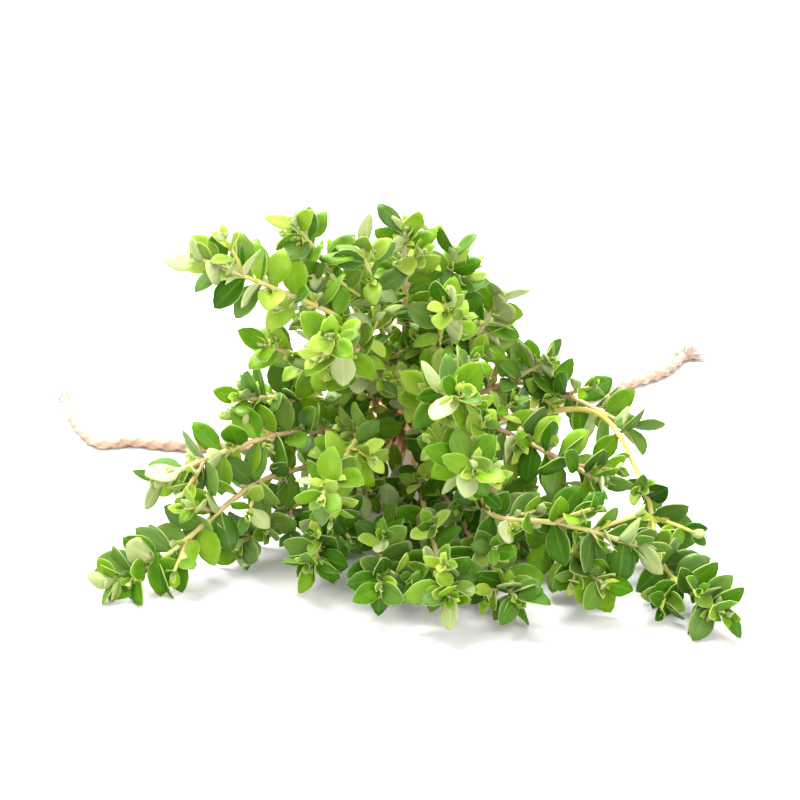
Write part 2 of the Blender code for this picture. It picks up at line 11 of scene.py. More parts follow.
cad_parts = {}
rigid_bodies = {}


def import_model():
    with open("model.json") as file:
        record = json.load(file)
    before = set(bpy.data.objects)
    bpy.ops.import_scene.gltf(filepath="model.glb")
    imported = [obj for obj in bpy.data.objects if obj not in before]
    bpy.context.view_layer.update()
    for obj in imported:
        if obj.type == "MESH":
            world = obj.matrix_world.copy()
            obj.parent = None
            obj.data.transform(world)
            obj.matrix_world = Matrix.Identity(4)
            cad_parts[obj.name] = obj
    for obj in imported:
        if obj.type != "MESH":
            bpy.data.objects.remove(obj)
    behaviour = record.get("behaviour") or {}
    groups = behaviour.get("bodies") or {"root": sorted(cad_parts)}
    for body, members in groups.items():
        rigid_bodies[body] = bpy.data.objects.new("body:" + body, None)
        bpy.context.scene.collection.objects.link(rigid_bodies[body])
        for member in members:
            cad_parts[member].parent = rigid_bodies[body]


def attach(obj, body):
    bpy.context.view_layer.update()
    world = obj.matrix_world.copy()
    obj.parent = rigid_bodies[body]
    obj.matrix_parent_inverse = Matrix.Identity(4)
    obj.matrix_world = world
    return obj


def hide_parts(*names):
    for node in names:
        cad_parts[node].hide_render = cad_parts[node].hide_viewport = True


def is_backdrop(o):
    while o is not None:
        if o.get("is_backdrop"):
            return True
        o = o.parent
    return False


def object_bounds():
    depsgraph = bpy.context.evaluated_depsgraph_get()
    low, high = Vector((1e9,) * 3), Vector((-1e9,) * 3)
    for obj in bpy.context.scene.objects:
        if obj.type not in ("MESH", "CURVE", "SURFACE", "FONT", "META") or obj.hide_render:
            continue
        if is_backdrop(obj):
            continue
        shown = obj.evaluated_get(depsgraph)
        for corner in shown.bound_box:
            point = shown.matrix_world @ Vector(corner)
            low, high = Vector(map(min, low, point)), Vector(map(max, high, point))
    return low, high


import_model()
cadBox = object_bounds()

# Lengths are in millimetres until a mesh is finished, and angles in degrees.
# +Z is up, the leafy tips point along -Y, the cut ends along +Y, the tie stands at the origin.
mm = 0.001


# Camera

camera = {
    "elevation": 22.0,  # above the table
    "target": (0, -45, 30),
    "distance": 494.0,
    "lens": 100.0,
    "sensor": 36.0,
}


def makeCamera():
    data = bpy.data.cameras.new("camera")
    data.lens = camera["lens"]
    data.sensor_width = camera["sensor"]
    lean = math.radians(camera["elevation"])
    back = Vector((0, -math.cos(lean), math.sin(lean)))
    obj = bpy.data.objects.new("camera", data)
    obj.location = (Vector(camera["target"]) + back * camera["distance"]) * mm
    obj.rotation_euler = (math.pi / 2 - lean, 0, 0)
    bpy.context.scene.collection.objects.link(obj)
    bpy.context.scene.camera = obj


# Lines that tubes, leaves and fibres follow

class Line:
    # a middle line with a direction and a side vector carried along it
    def __init__(self, points, radius, tipRadius, side, turn=0.0):
        self.points = points
        self.radii = (radius, tipRadius)
        self.turn = turn
        self.distances = [0.0]
        for a, b in zip(points, points[1:]):
            self.distances.append(self.distances[-1] + (b - a).length)
        self.length = self.distances[-1]
        ahead = [(b - a).normalized() for a, b in zip(points, points[1:])]
        self.tangents = [ahead[0]]
        self.tangents += [(a + b).normalized() for a, b in zip(ahead, ahead[1:])]
        self.tangents.append(ahead[-1])
        side = (side - self.tangents[0] * side.dot(self.tangents[0])).normalized()
        self.sides = [side]
        for a, b in zip(self.tangents, self.tangents[1:]):
            side = side.copy()
            side.rotate(a.rotation_difference(b))
            side = (side - b * side.dot(b)).normalized()
            self.sides.append(side)

    def at(self, distance):
        last = len(self.points) - 2
        k = 0
        while k < last and self.distances[k + 1] < distance:
            k += 1
        t = (distance - self.distances[k]) / (self.distances[k + 1] - self.distances[k])
        point = self.points[k].lerp(self.points[k + 1], t)
        tangent = self.tangents[k].lerp(self.tangents[k + 1], t).normalized()
        side = self.sides[k].lerp(self.sides[k + 1], t)
        return point, tangent, (side - tangent * side.dot(tangent)).normalized()

    def outward(self, number, angle):
        # the direction away from one of its points, at an angle round it
        across = self.tangents[number].cross(self.sides[number])
        return self.sides[number] * math.cos(angle) + across * math.sin(angle)

    def radiusAt(self, distance):
        share = distance / self.length
        return self.radii[0] * (1 - share) + self.radii[1] * share


def smoothRoute(points, start, step):
    # points about a step apart on a smooth curve through the given ones
    points = [Vector(p) for p in points]
    slopes = [Vector(start)]
    for before, after in zip(points, points[2:]):
        slopes.append((after - before) / 2)
    last = points[-1] - points[-2]
    slopes.append(last * 1.5 - slopes[-1] / 2)
    route = [points[0].copy()]
    for number, (a, b) in enumerate(zip(points, points[1:])):
        pieces = max(2, round((b - a).length / step))
        for piece in range(1, pieces + 1):
            t = piece / pieces
            square, cube = t * t, t * t * t
            route.append(
                a * (2 * cube - 3 * square + 1)
                + slopes[number] * (cube - 2 * square + t)
                + b * (3 * square - 2 * cube)
                + slopes[number + 1] * (cube - square)
            )
    return route


def evenLine(points, step, radius, tipRadius, side, turn=0.0, short=0.0):
    # the same line with its points at even steps, up to a length short of its end
    line = Line(points, radius, tipRadius, side, turn)
    length = line.length - short
    count = max(2, round(length / step))
    spots = [line.at(length * number / count)[0] for number in range(count + 1)]
    return Line(spots, radius, tipRadius, side, turn)


# Meshes

def rolled(place, around, along, uvSize, capped=True):
    # a grid rolled into a tube: place(u, row) gives each of its points
    bm = bmesh.new()
    uv = bm.loops.layers.uv.new("UVMap")
    bmesh.ops.create_grid(bm, x_segments=around, y_segments=along, size=0.5)
    for face in bm.faces:
        for loop in face.loops:
            u, v = loop.vert.co.x + 0.5, loop.vert.co.y + 0.5
            loop[uv].uv = (u * uvSize[0], v * uvSize[1])
    for vert in bm.verts:
        vert.co = place(vert.co.x + 0.5, round((vert.co.y + 0.5) * along))
    bmesh.ops.remove_doubles(bm, verts=bm.verts, dist=0.0005)
    if capped:
        ends = [edge for edge in bm.edges if edge.is_boundary]
        bmesh.ops.holes_fill(bm, edges=ends, sides=0)
    bmesh.ops.recalc_face_normals(bm, faces=bm.faces)
    return bm


def takeIn(bm, part):
    # adds one bmesh to another
    mesh = bpy.data.meshes.new("part")
    part.to_mesh(mesh)
    part.free()
    bm.from_mesh(mesh)
    bpy.data.meshes.remove(mesh)


def toPiece(name, bm, material, nodes):
    # a finished piece, in metres, that stands for CAD nodes and rides with the bundle
    bmesh.ops.scale(bm, vec=(mm, mm, mm), verts=bm.verts)
    mesh = bpy.data.meshes.new(name)
    for face in bm.faces:
        face.smooth = True
    bm.to_mesh(mesh)
    bm.free()
    mesh.materials.append(material)
    obj = bpy.data.objects.new(name, mesh)
    bpy.context.scene.collection.objects.link(obj)
    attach(obj, "root")
    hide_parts(*nodes)
    return obj


# Shader maths

class Wire:
    # a socket that Python's operators work on
    def __init__(self, maker, socket):
        self.maker = maker
        self.socket = socket

    def maths(self, operation, *values):
        inputs = dict(enumerate(values))
        return self.maker.node("ShaderNodeMath", {"operation": operation}, inputs)

    def __add__(self, other):
        return self.maths("ADD", self, other)

    __radd__ = __add__

    def __sub__(self, other):
        return self.maths("SUBTRACT", self, other)

    def __rsub__(self, other):
        return self.maths("SUBTRACT", other, self)

    def __mul__(self, other):
        return self.maths("MULTIPLY", self, other)

    __rmul__ = __mul__

    def __truediv__(self, other):
        return self.maths("DIVIDE", self, other)

    def __pow__(self, other):
        return self.maths("POWER", self, other)

    def __abs__(self):
        return self.maths("ABSOLUTE", self)

    def sine(self):
        return self.maths("SINE", self)

    def step(self, low, high):
        # 0 below low, 1 above high, and smooth between
        settings = {"interpolation_type": "SMOOTHSTEP", "clamp": True}
        return self.maker.node("ShaderNodeMapRange", settings, {0: self, 1: low, 2: high})


socketNames = {
    "baseColor": "Base Color", "specular": "Specular IOR Level",
    "subsurface": "Subsurface Weight", "subsurfaceRadius": "Subsurface Radius",
    "subsurfaceScale": "Subsurface Scale", "sheen": "Sheen Weight",
    "sheenRoughness": "Sheen Roughness", "coatWeight": "Coat Weight",
    "coatRoughness": "Coat Roughness",
}


class Maker:
    # makes a material's nodes
    def __init__(self, name):
        self.material = bpy.data.materials.new(name)
        self.material.use_nodes = True
        self.tree = self.material.node_tree
        self.surface = self.tree.nodes["Principled BSDF"]

    def node(self, kind, settings=None, inputs=None, out=0):
        made = self.tree.nodes.new(kind)
        for key, value in (settings or {}).items():
            if key == "stops":
                self.setStops(made.color_ramp, value)
            else:
                setattr(made, key, value)
        for key, value in (inputs or {}).items():
            self.put(made.inputs[key], value)
        return Wire(self, made.outputs[out])

    def setStops(self, ramp, stops):
        while len(ramp.elements) < len(stops):
            ramp.elements.new(1.0)
        for element, (place, color) in zip(ramp.elements, stops):
            element.position = place
            element.color = (*color, 1)

    def put(self, socket, value):
        if isinstance(value, Wire):
            self.tree.links.new(value.socket, socket)
        else:
            socket.default_value = value

    def set(self, **values):
        for key, value in values.items():
            self.put(self.surface.inputs[socketNames.get(key, key.capitalize())], value)

    def mix(self, share, a, b):
        # colours, as (r, g, b) or wires
        a, b = [(*c, 1) if isinstance(c, tuple) else c for c in (a, b)]
        settings = {"data_type": "RGBA", "clamp_factor": True}
        return self.node("ShaderNodeMix", settings, {0: share, 6: a, 7: b}, out=2)

    def ramp(self, value, *stops):
        return self.node("ShaderNodeValToRGB", {"stops": stops}, {0: value})

    def noise(self, vector, scale, detail=2.0):
        inputs = {"Vector": vector, "Scale": scale, "Detail": detail}
        return self.node("ShaderNodeTexNoise", {"noise_dimensions": "3D"}, inputs)

    def attribute(self, name):
        return self.node("ShaderNodeAttribute", {"attribute_name": name}, out="Fac")

    def objectPlace(self):
        return self.node("ShaderNodeTexCoord", out="Object")

    def uv(self):
        return self.node("ShaderNodeUVMap", {"uv_map": "UVMap"})

    def split(self, vector):
        # its first two numbers
        return [self.node("ShaderNodeSeparateXYZ", inputs={0: vector}, out=k) for k in (0, 1)]

    def bump(self, height, strength, distance):
        inputs = {"Height": height, "Strength": strength, "Distance": distance}
        return self.node("ShaderNodeBump", inputs=inputs)


# Twine: two twisted plies, three turns round the stems and a knot with two loose ends

twine = {
    "radius": 1.3,
    "turns": 3,
    "turnPitch": 2.4,
    "facets": 16,  # of the CAD's turns, which set the tie's height
    "sides": 6,
    "plyPitch": 8.5,  # length in which the two plies go round each other once
    "groove": 0.36,
    "around": 14,
    "step": 0.6,
    "color": (0.38, 0.23, 0.14),
    "paleColor": (0.56, 0.39, 0.27),
    # painted shade for the grooves between the plies
    "grooveShadeColor": (0.22, 0.12, 0.07),
    "litFibreColor": (0.92, 0.78, 0.64),  # painted light: fibres that stand apart are painted paler, as if lit through
    "hairRadius": 0.05,
    "hairLengths": (0.8, 2.2),
    "hairSpacing": 0.8,
    "hairLean": 1.2,  # along the twine, against its way out of it
    "hairRoot": 0.8,  # how far out of the middle a hair starts, in radii
}
knot = {
    "lift": 1.17,  # of its middle over the tie's top
    "ringRadius": 2.3,
    "turns": ((-1.3, (1, 0.25, 0)), (1.3, (1, -0.25, 0)), (0.0, (0.2, 0.55, 1))),  # x, axis
    "reach": 4.8,  # of the twine through it, to each side
}
tails = {
    "fall": (0.0, -0.2, -2.6, -6.8, -11.4, -15.6),  # the first points, lower than the knot
    "left": (
        (-5.1, 0.0), (-8.3, 0.3), (-11.0, 0.5), (-12.6, 0.4), (-13.8, 0.1), (-16.0, -0.6),
        (-20.5, -1.8), (-29.0, -3.4), (-39.0, -4.3), (-49.0, -4.2), (-58.0, -3.0), (-66.0, -1.2),
        (-73.5, -2.6), (-78.5, 4.4), (-83.0, 15.5), (-85.8, 25.5), (-88.0, 34.0),
    ),
    "right": (
        (5.1, 0.0), (8.3, 0.9), (10.8, 2.4), (12.3, 3.7), (13.5, 4.9), (15.5, 6.6),
        (19.6, 9.6), (28.0, 15.4), (39.0, 22.0), (50.0, 28.6), (57.0, 34.8), (63.5, 40.0),
        (70.0, 46.0), (76.0, 56.5), (81.0, 63.5),
    ),
    "leftFibres": 60,
    "rightFibres": 260,
    "leftFan": 26,
    "rightFan": 62,
    # where the twist opens along the tail, over what length, and how much thicker it gets
    "loose": {"left": (62.0, 8.0, 0.4), "right": (86.0, 9.0, 0.15)},
    "frayLength": 6.5,  # the twisted twine stops this far short of the tail's end
    "fibreLengths": (3.0, 8.0),
    "fibreRadius": 0.14,
    "fibreSpread": 0.75,  # how far out of the middle the fibres start, in radii
    "fibreRoot": 1.2,  # and how far back from the end
    "seed": 12,
}


def tieRingRadius():
    inside = bundle["ringRadii"][0] + sprig["radius"] + bundle["gap"]
    flat = math.cos(math.pi / twine["facets"])
    return inside / flat + twine["radius"] * math.cos(math.pi / twine["sides"])


def tieOuterRadius():
    return tieRingRadius() + twine["radius"] * math.cos(math.pi / twine["sides"])


def tieHeight():
    return tieOuterRadius() * math.cos(math.pi / twine["facets"])


def knotHeight():
    return tieHeight() + tieOuterRadius() + knot["lift"]


def twineMaterial(name, loose):
    make = Maker(name)
    uv = make.uv()
    around, along = make.split(uv)
    strand = (around * 2 * math.tau + along * (2 * math.tau / twine["plyPitch"])).sine()
    fibres = make.noise(make.node("ShaderNodeMapping", inputs={0: uv, 3: (26, 1.6, 1)}), 1.0, 4)
    patches = make.noise(make.objectPlace(), 160, 3)
    groove = strand.step(-1.0, 0.1)
    color = make.mix(patches.step(0.3, 0.7), twine["color"], twine["paleColor"])
    # painted shade: the grooves between the two plies are painted darker
    color = make.mix((1 - groove) * 0.55, color, twine["grooveShadeColor"])
    color = make.mix(fibres.step(0.45, 0.75) * 0.5, color, twine["paleColor"])
    # painted light: the loose fibres get a paler colour, standing in for the light they catch
    color = make.mix(loose, color, twine["litFibreColor"])
    height = groove * 0.5 + fibres * 0.8
    make.set(baseColor=color, roughness=0.9, specular=0.15, sheen=0.35, sheenRoughness=0.6,
             normal=make.bump(height, 0.7, 0.0003))
    return make.material


def twistedTube(line, closed=False, loose=(0.0, 1.0, 0.0)):
    # two plies that go round each other along a line; a closed one ends where it began
    where, reach, thicker = loose
    turns = line.length / twine["plyPitch"]
    if closed:
        turns = max(1, round(turns * 2)) / 2
    count = len(line.points) - 1

    def place(u, row):
        k = 0 if closed and row == count else row
        angle = math.tau * u
        twist = math.tau * turns * row / count
        hollow = 0.5 - 0.5 * math.cos(2 * (angle - twist))
        end = min(1.0, 0.72 + 0.4 * min(row, count - row)) if not closed else 1.0
        radius = line.radiusAt(line.distances[k]) * (1 - twine["groove"] * hollow) * end
        radius *= 1 + thicker * math.exp(-((line.distances[k] - where) / reach) ** 2)
        return line.points[k] + line.outward(k, angle) * radius

    uvSize = (1, turns * twine["plyPitch"])
    return rolled(place, twine["around"], count, uvSize, capped=not closed)


def addHair(bm, root, ahead, length, radius, rng):
    # one tapering fibre that bends as it goes
    side = ahead.orthogonal()
    bend = Vector([rng.uniform(-0.5, 0.5) for _ in range(3)])
    points = [root + (ahead + bend * t) * length * t for t in (0, 0.35, 0.7, 1)]
    for point in points:
        point.z = max(point.z, radius)
    line = Line(points, radius, radius * 0.35, side)

    def place(u, row):
        radius = line.radiusAt(line.distances[row])
        return line.points[row] + line.outward(row, math.tau * u) * radius

    takeIn(bm, rolled(place, 3, len(points) - 1, (1, length)))


def addHairs(bm, line, rng):
    # short fibres that stand off the twine
    lean, start = twine["hairLean"], twine["hairRoot"]
    for _ in range(int(line.length / twine["hairSpacing"])):
        point, tangent, side = line.at(rng.uniform(0, line.length))
        out = side.copy()
        out.rotate(Quaternion(tangent, rng.uniform(0, math.tau)))
        ahead = (out + tangent * rng.uniform(-lean, lean)).normalized()
        length = rng.uniform(*twine["hairLengths"])
        root = point + out * line.radii[0] * start
        addHair(bm, root, ahead, length, twine["hairRadius"], rng)


def ringLine(center, axis, radius):
    # a closed line round an axis, beginning at its lowest point where the axis is level
    turn = Vector((0, 1, 0)).rotation_difference(Vector(axis))
    count = round(math.tau * radius / twine["step"])
    points = []
    for number in range(count + 1):
        angle = math.tau * number / count
        out = turn @ Vector((math.sin(angle), 0, -math.cos(angle)))
        points.append(Vector(center) + out * radius)
    line = Line(points, twine["radius"], twine["radius"], turn @ Vector((0, 1, 0)))
    meet = (line.tangents[0] + line.tangents[-1]).normalized()
    line.tangents[0] = line.tangents[-1] = meet
    return line


def makeTie(material):
    rng = random.Random(tails["seed"])
    turns = bmesh.new()
    for turn in range(twine["turns"]):
        y = twine["turnPitch"] * (turn - (twine["turns"] - 1) / 2)
        line = ringLine((0, y, tieHeight()), (0, 1, 0), tieRingRadius())
        takeIn(turns, twistedTube(line, closed=True))
        addHairs(turns, line, rng)
    for vert in turns.verts:
        vert.co.z = max(vert.co.z, 0)
    toPiece("tieTurns", turns, material, ["twine_tie"])
    bow = bmesh.new()
    height = knotHeight()
    for x, axis in knot["turns"]:
        line = ringLine((x, 0, height), axis, knot["ringRadius"])
        takeIn(bow, twistedTube(line, closed=True))
        addHairs(bow, line, rng)
    ends = [Vector((end * knot["reach"], 0, height)) for end in (-1, 1)]
    through = evenLine(ends, twine["step"], twine["radius"], twine["radius"], Vector((0, 1, 0)))
    takeIn(bow, twistedTube(through))
    toPiece("tieKnot", bow, material, ["twine_tie"])


def tailLine(tail, step):
    points = [Vector((x, y, twine["radius"])) for x, y in tail]
    for point, fall in zip(points, tails["fall"]):
        point.z = knotHeight() + fall
    start = (points[1] - points[0]) * bundle["firstPull"]
    route = smoothRoute(points, start, bundle["routeStep"])
    for point in route:
        point.z = max(point.z, twine["radius"])
    radius = twine["radius"]
    return evenLine(route, step, radius, radius, Vector((0, 1, 0)), short=tails["frayLength"])


def frayedEnd(line, fibres, fan, rng):
    # fibres that fan out past the end of a loose tail
    bm = bmesh.new()
    point, tangent, side = line.at(line.length)
    across = tangent.cross(side)
    for _ in range(fibres):
        spread = math.radians(fan) * math.sqrt(rng.random())
        angle = rng.uniform(0, math.tau)
        out = side * math.cos(angle) + across * math.sin(angle)
        ahead = (tangent * math.cos(spread) + out * math.sin(spread)).normalized()
        start = out * twine["radius"] * rng.uniform(0, tails["fibreSpread"])
        root = point + start - tangent * tails["fibreRoot"]
        addHair(bm, root, ahead, rng.uniform(*tails["fibreLengths"]), tails["fibreRadius"], rng)
    return bm


def makeTail(side, material, looseMaterial):
    rng = random.Random(f"{side}{tails['seed']}")
    line = tailLine(tails[side], twine["step"])
    node = "twine_tail_" + side
    bm = twistedTube(line, loose=tails["loose"][side])
    for vert in bm.verts:
        vert.co.z = max(vert.co.z, 0)
    tail = toPiece("tail" + side.capitalize(), bm, material, [node])
    fray = frayedEnd(line, tails[side + "Fibres"], tails[side + "Fan"], rng)
    addHairs(fray, line, rng)
    end = toPiece("fray" + side.capitalize(), fray, looseMaterial, [node])
    path = [point * mm for point in line.points]
    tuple(path[0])
    print(f"{side} tail: {line.length:.1f} mm")


# Sprigs: where each one runs, and what grows on it

bundle = {
    "seed": 54,
    "gap": 0.3,  # between pieces that touch
    "ringCounts": (16, 8, 2),  # stems in the outer ring, the inner ring and the core
    "ringRadii": (5.55, 3.32, 1.1),
    "ringStarts": (-11.25, 0.0, 0.0),  # the angle of each ring's first stem
    "tieHalfLength": 6.0,  # stems run straight this far each side of the tie's middle
    "cutLengths": (33.0, 44.0),  # how far behind the tie they end
    "cutSplays": (1.33, 1.55),  # how much further apart they are there
    "cutLowest": 1.3,
    "firstPull": 0.9,  # how straight a route starts, as a share of its first stretch
    "routeStep": 2.0,
    "sectionLength": 11.5,  # of the CAD's coarser stems
    "fixedPoints": 3,  # the first points of a route, which spreading leaves alone
    "easedPoints": 4,  # the next ones, which it moves less
    "clearance": 2.9,  # between the middles of two stems
    "clearanceGrowth": 0.06,  # for each point further out, up to that
    "rounds": 60,
    "reach": 2,  # points each side that share a push
    # the last point of each route is the sprig's tip; from the right and over the top
    "outer": (
        ((25, -24, 17), (45, -36, 23), (54, -56, 13), (56, -80, 6), (66, -101, 6)),
        ((27, -19, 24), (53, -38, 20)),
        ((20, -20, 22), (34, -28, 33)),
        ((12, -22, 28), (23, -27, 48)),
        ((8, -24, 36), (12, -34, 61)),
        ((1, -28, 40), (1, -42, 69)),
        ((-8, -30, 42), (-22, -50, 72)),
        ((-11, -48, 48), (-26, -57, 60), (-42, -63, 69)),
        ((-14, -34, 32), (-29, -58, 48)),
        ((-17, -30, 24), (-35, -52, 33)),
        ((-16, -32, 17), (-30, -55, 25), (-52, -66, 20)),
        ((-17, -38, 12), (-32, -60, 16), (-50, -77, 7), (-61, -83, 4)),
        ((-15, -36, 7), (-35, -68, 5)),
        ((-3, -50, 6), (-4, -94, 8)),
        ((12, -52, 6), (24, -97, 7)),
        ((14, -52, 14), (20, -78, 17), (33, -86, 19), (50, -89, 15)),
    ),
    "inner": (
        ((22, -48, 8), (42, -92, 8)),
        ((20, -38, 21), (43, -72, 22)),
        ((7, -34, 34), (10, -55, 57)),
        ((-3, -32, 36), (-8, -51, 68)),
        ((-8, -38, 33), (-15, -72, 55)),
        ((-8, -44, 22), (-16, -88, 26)),
        ((-9, -44, 9), (-19, -82, 7)),
        ((5, -52, 9), (10, -100, 9)),
    ),
    "core": (
        ((8, -46, 22), (15, -95, 35)),
        ((4, -44, 30), (12, -86, 48)),
    ),
}
sprig = {
    "radius": 0.9,
    "tipRadius": 0.45,
    "sides": 4,
    "bareLength": 14.0,  # nothing grows this close to the tie
    "pairDistances": (1.2, 5.2, 11.0, 19.0, 29.0, 40.0, 52.0, 65.0),  # from the tip
    "leafLengths": (8.2, 9.3, 9.6, 9.6, 9.5, 9.2, 8.8, 8.2),
    "leafLeans": (34, 52, 62, 66, 68, 68, 70, 70),
    "leafSpread": (0.82, 1.06),  # of the lengths
    "tries": 26,  # at room for a leaf, at each of the sizes below
    "shrinks": (1.0, 0.82, 0.68),
}
clearLeaf = {  # the plain leaf that finds room for each real one
    "outline": ((0.34, 0.27, 0.0), (0.68, 0.26, 0.05)),  # along, half across, down
    "smallOutline": ((0.46, 0.31, 0.01),),
    "small": 5.5,  # shorter leaves have the plainer outline
    "keelAlong": 0.36,
    "depth": 0.75,
    "curl": 0.14,
    "turn": 75,  # how far the last tries turn, tilt and roll it
    "tilt": 45,
    "tiltJitter": 12,
    "roll": 40,
    "rollJitter": 25,
    "free": 0.3,  # the share next to the root that may cross leaves of its own sprig
    "lightPull": 0.35,  # how much upper sides turn up
    "pressHeight": 0.4,  # a lower point than this lies on the table
    "faces": (
        (0, 2, 1), (1, 2, 4), (1, 4, 3), (3, 4, 5),
        (2, 0, 6), (0, 1, 6), (1, 3, 6), (3, 5, 6), (5, 4, 6), (4, 2, 6),
    ),
    "smallFaces": ((0, 2, 1), (1, 2, 3), (2, 0, 4), (0, 1, 4), (1, 3, 4), (3, 2, 4)),
    "cell": 13.0,  # side of the cubes that leaves are sorted into
}
shoot = {
    "pairs": (3, 5),  # of leaves, from the tip, that a side shoot grows beside
    "lengths": (9.0, 14.0),
    "radius": 0.5,
    "tipRadius": 0.38,
    "sides": 3,
    "lean": 42,
    "bend": 0.35,  # back towards the stem's direction
    "rise": 0.3,
    "lowest": 2.5,
    "margin": 0.4,  # kept round it
    "pairDistances": (0.9, 3.6),
    "leafLengths": (4.4, 6.0),
    "leafLeans": (30, 52),
    "tries": 16,
}


def ringSlots():
    slots = []
    rings = zip(bundle["ringCounts"], bundle["ringRadii"], bundle["ringStarts"])
    for count, radius, start in rings:
        for number in range(count):
            angle = math.radians(start) + math.tau * number / count
            slots.append((radius * math.cos(angle), tieHeight() + radius * math.sin(angle)))
    return slots


def sprigRoutes():
    routes = []
    for (x, z), points in zip(ringSlots(), bundle["outer"] + bundle["inner"] + bundle["core"]):
        front = Vector((x, -bundle["tieHalfLength"], z))
        reach = (Vector(points[0]) - front).length
        start = (0, -bundle["firstPull"] * reach, 0)
        routes.append(smoothRoute([front, *points], start, bundle["routeStep"]))
    return routes


def spread(routes):
    # bends the routes clear of each other and above the table
    fixed, reach = bundle["fixedPoints"], bundle["reach"]
    for _ in range(bundle["rounds"]):
        moves = [[Vector() for _ in route] for route in routes]
        for i, one in enumerate(routes):
            for j in range(i + 1, len(routes)):
                pushApart(one, routes[j], moves[i], moves[j])
        for route, shifts in zip(routes, moves):
            for k in range(fixed, len(route)):
                nearby = shifts[max(fixed, k - reach):k + reach + 1]
                ease = min(1.0, (k - fixed + 1) / bundle["easedPoints"])
                route[k] += sum(nearby, Vector()) / len(nearby) * ease
                route[k].z = max(route[k].z, sprig["radius"] + bundle["gap"])


def pushApart(one, other, oneMoves, otherMoves):
    fixed = bundle["fixedPoints"]
    touching = 2 * sprig["radius"] + bundle["gap"]
    for a in range(fixed, len(one)):
        for b in range(fixed, len(other)):
            apart = one[a] - other[b]
            won = bundle["clearanceGrowth"] * (min(a, b) - fixed)
            wanted = min(bundle["clearance"], touching + won)
            if apart.length_squared >= wanted * wanted:
                continue
            push = apart.normalized() * (wanted - apart.length) / 2
            oneMoves[a] += push
            otherMoves[b] -= push


def thinned(route, section):
    count = max(1, round((len(route) - 1) * bundle["routeStep"] / section))
    return [route[round((len(route) - 1) * number / count)] for number in range(count + 1)]


def clearTube(line, sides, margin=0.0):
    points = []
    for k, middle in enumerate(line.points):
        radius = line.radiusAt(line.distances[k]) + margin
        for corner in range(sides):
            angle = line.turn + math.tau * (corner + 0.5) / sides
            points.append(middle + line.outward(k, angle) * radius)
    faces = []
    for row in range(len(line.points) - 1):
        for corner in range(sides):
            a = row * sides + corner
            b = row * sides + (corner + 1) % sides
            faces.append((a, b, b + sides, a + sides))
    faces.append(tuple(reversed(range(sides))))
    faces.append(tuple(range(len(points) - sides, len(points))))
    return points, faces


def clearBlade(length, start=0.0, margin=0.0):
    small = length < clearLeaf["small"]
    points = [(start, 0, 0)]
    for along, across, drop in clearLeaf["smallOutline" if small else "outline"]:
        for edge in (1, -1):
            wide = edge * (length * across + margin)
            points.append((length * along, wide, -length * drop))
    points.append((length + margin, 0, -length * clearLeaf["curl"]))
    points.append((length * clearLeaf["keelAlong"], 0, -clearLeaf["depth"] - margin))
    return points, clearLeaf["smallFaces" if small else "faces"]


def wideBlade(length, margin):
    points, faces = clearBlade(length, margin=margin)
    keel = points.pop()
    count = len(points)
    rim = (0, 2, 3, 1) if length < clearLeaf["small"] else (0, 2, 4, 5, 3, 1)
    shell = [(x, y, z + rise) for rise in (margin, -margin) for x, y, z in points] + [keel]
    sides = [face for face in faces if count not in face]
    for a, b in zip(rim, rim[1:] + rim[:1]):
        sides += [(a + count, b + count, b, a), (b + count, a + count, 2 * count)]
    return shell, sides


def placed(shape, matrix):
    points, faces = shape
    return [matrix @ Vector(p) for p in points], faces


def pressed(points):
    lowest = min(points, key=lambda point: point.z)
    if lowest.z < clearLeaf["pressHeight"]:
        lowest.z = 0.0
    return points


class Space:
    # what is already placed, so that new leaves keep clear of it
    def __init__(self):
        self.cells = {}
        self.stems = []

    def addStem(self, owner, shape):
        self.stems.append((owner, BVHTree.FromPolygons(*shape)))

    def addLeaf(self, owner, shape, freeShape):
        entry = (owner, BVHTree.FromPolygons(*shape), BVHTree.FromPolygons(*freeShape))
        self.cells.setdefault(self.cell(shape[0][-1]), []).append(entry)

    def cell(self, point):
        return tuple(math.floor(c / clearLeaf["cell"]) for c in point)

    def hitsStem(self, owner, tree):
        return any(tree.overlap(other) for there, other in self.stems if there != owner)

    def leafHits(self, owner, middle, tree, freeTree):
        x, y, z = self.cell(middle)
        ownHits = 0
        for dx in (-1, 0, 1):
            for dy in (-1, 0, 1):
                for dz in (-1, 0, 1):
                    for there, other, otherFree in self.cells.get((x + dx, y + dy, z + dz), ()):
                        if there != owner:
                            if tree.overlap(other):
                                return True, ownHits
                        elif freeTree.overlap(otherFree):
                            ownHits += 1
        return False, ownHits


def leafMatrix(point, tangent, outward, lean, roll):
    # stands a leaf on a stem, its upper face towards the tip and the light
    along = outward * math.sin(lean) + tangent * math.cos(lean)
    upper = tangent * math.sin(lean) - outward * math.cos(lean)
    upper = upper + Vector((0, 0, clearLeaf["lightPull"]))
    upper = (upper - along * upper.dot(along)).normalized()
    upper.rotate(Quaternion(along, roll))
    across = upper.cross(along)
    matrix = Matrix((along, across, upper)).transposed().to_4x4()
    matrix.translation = point
    return matrix


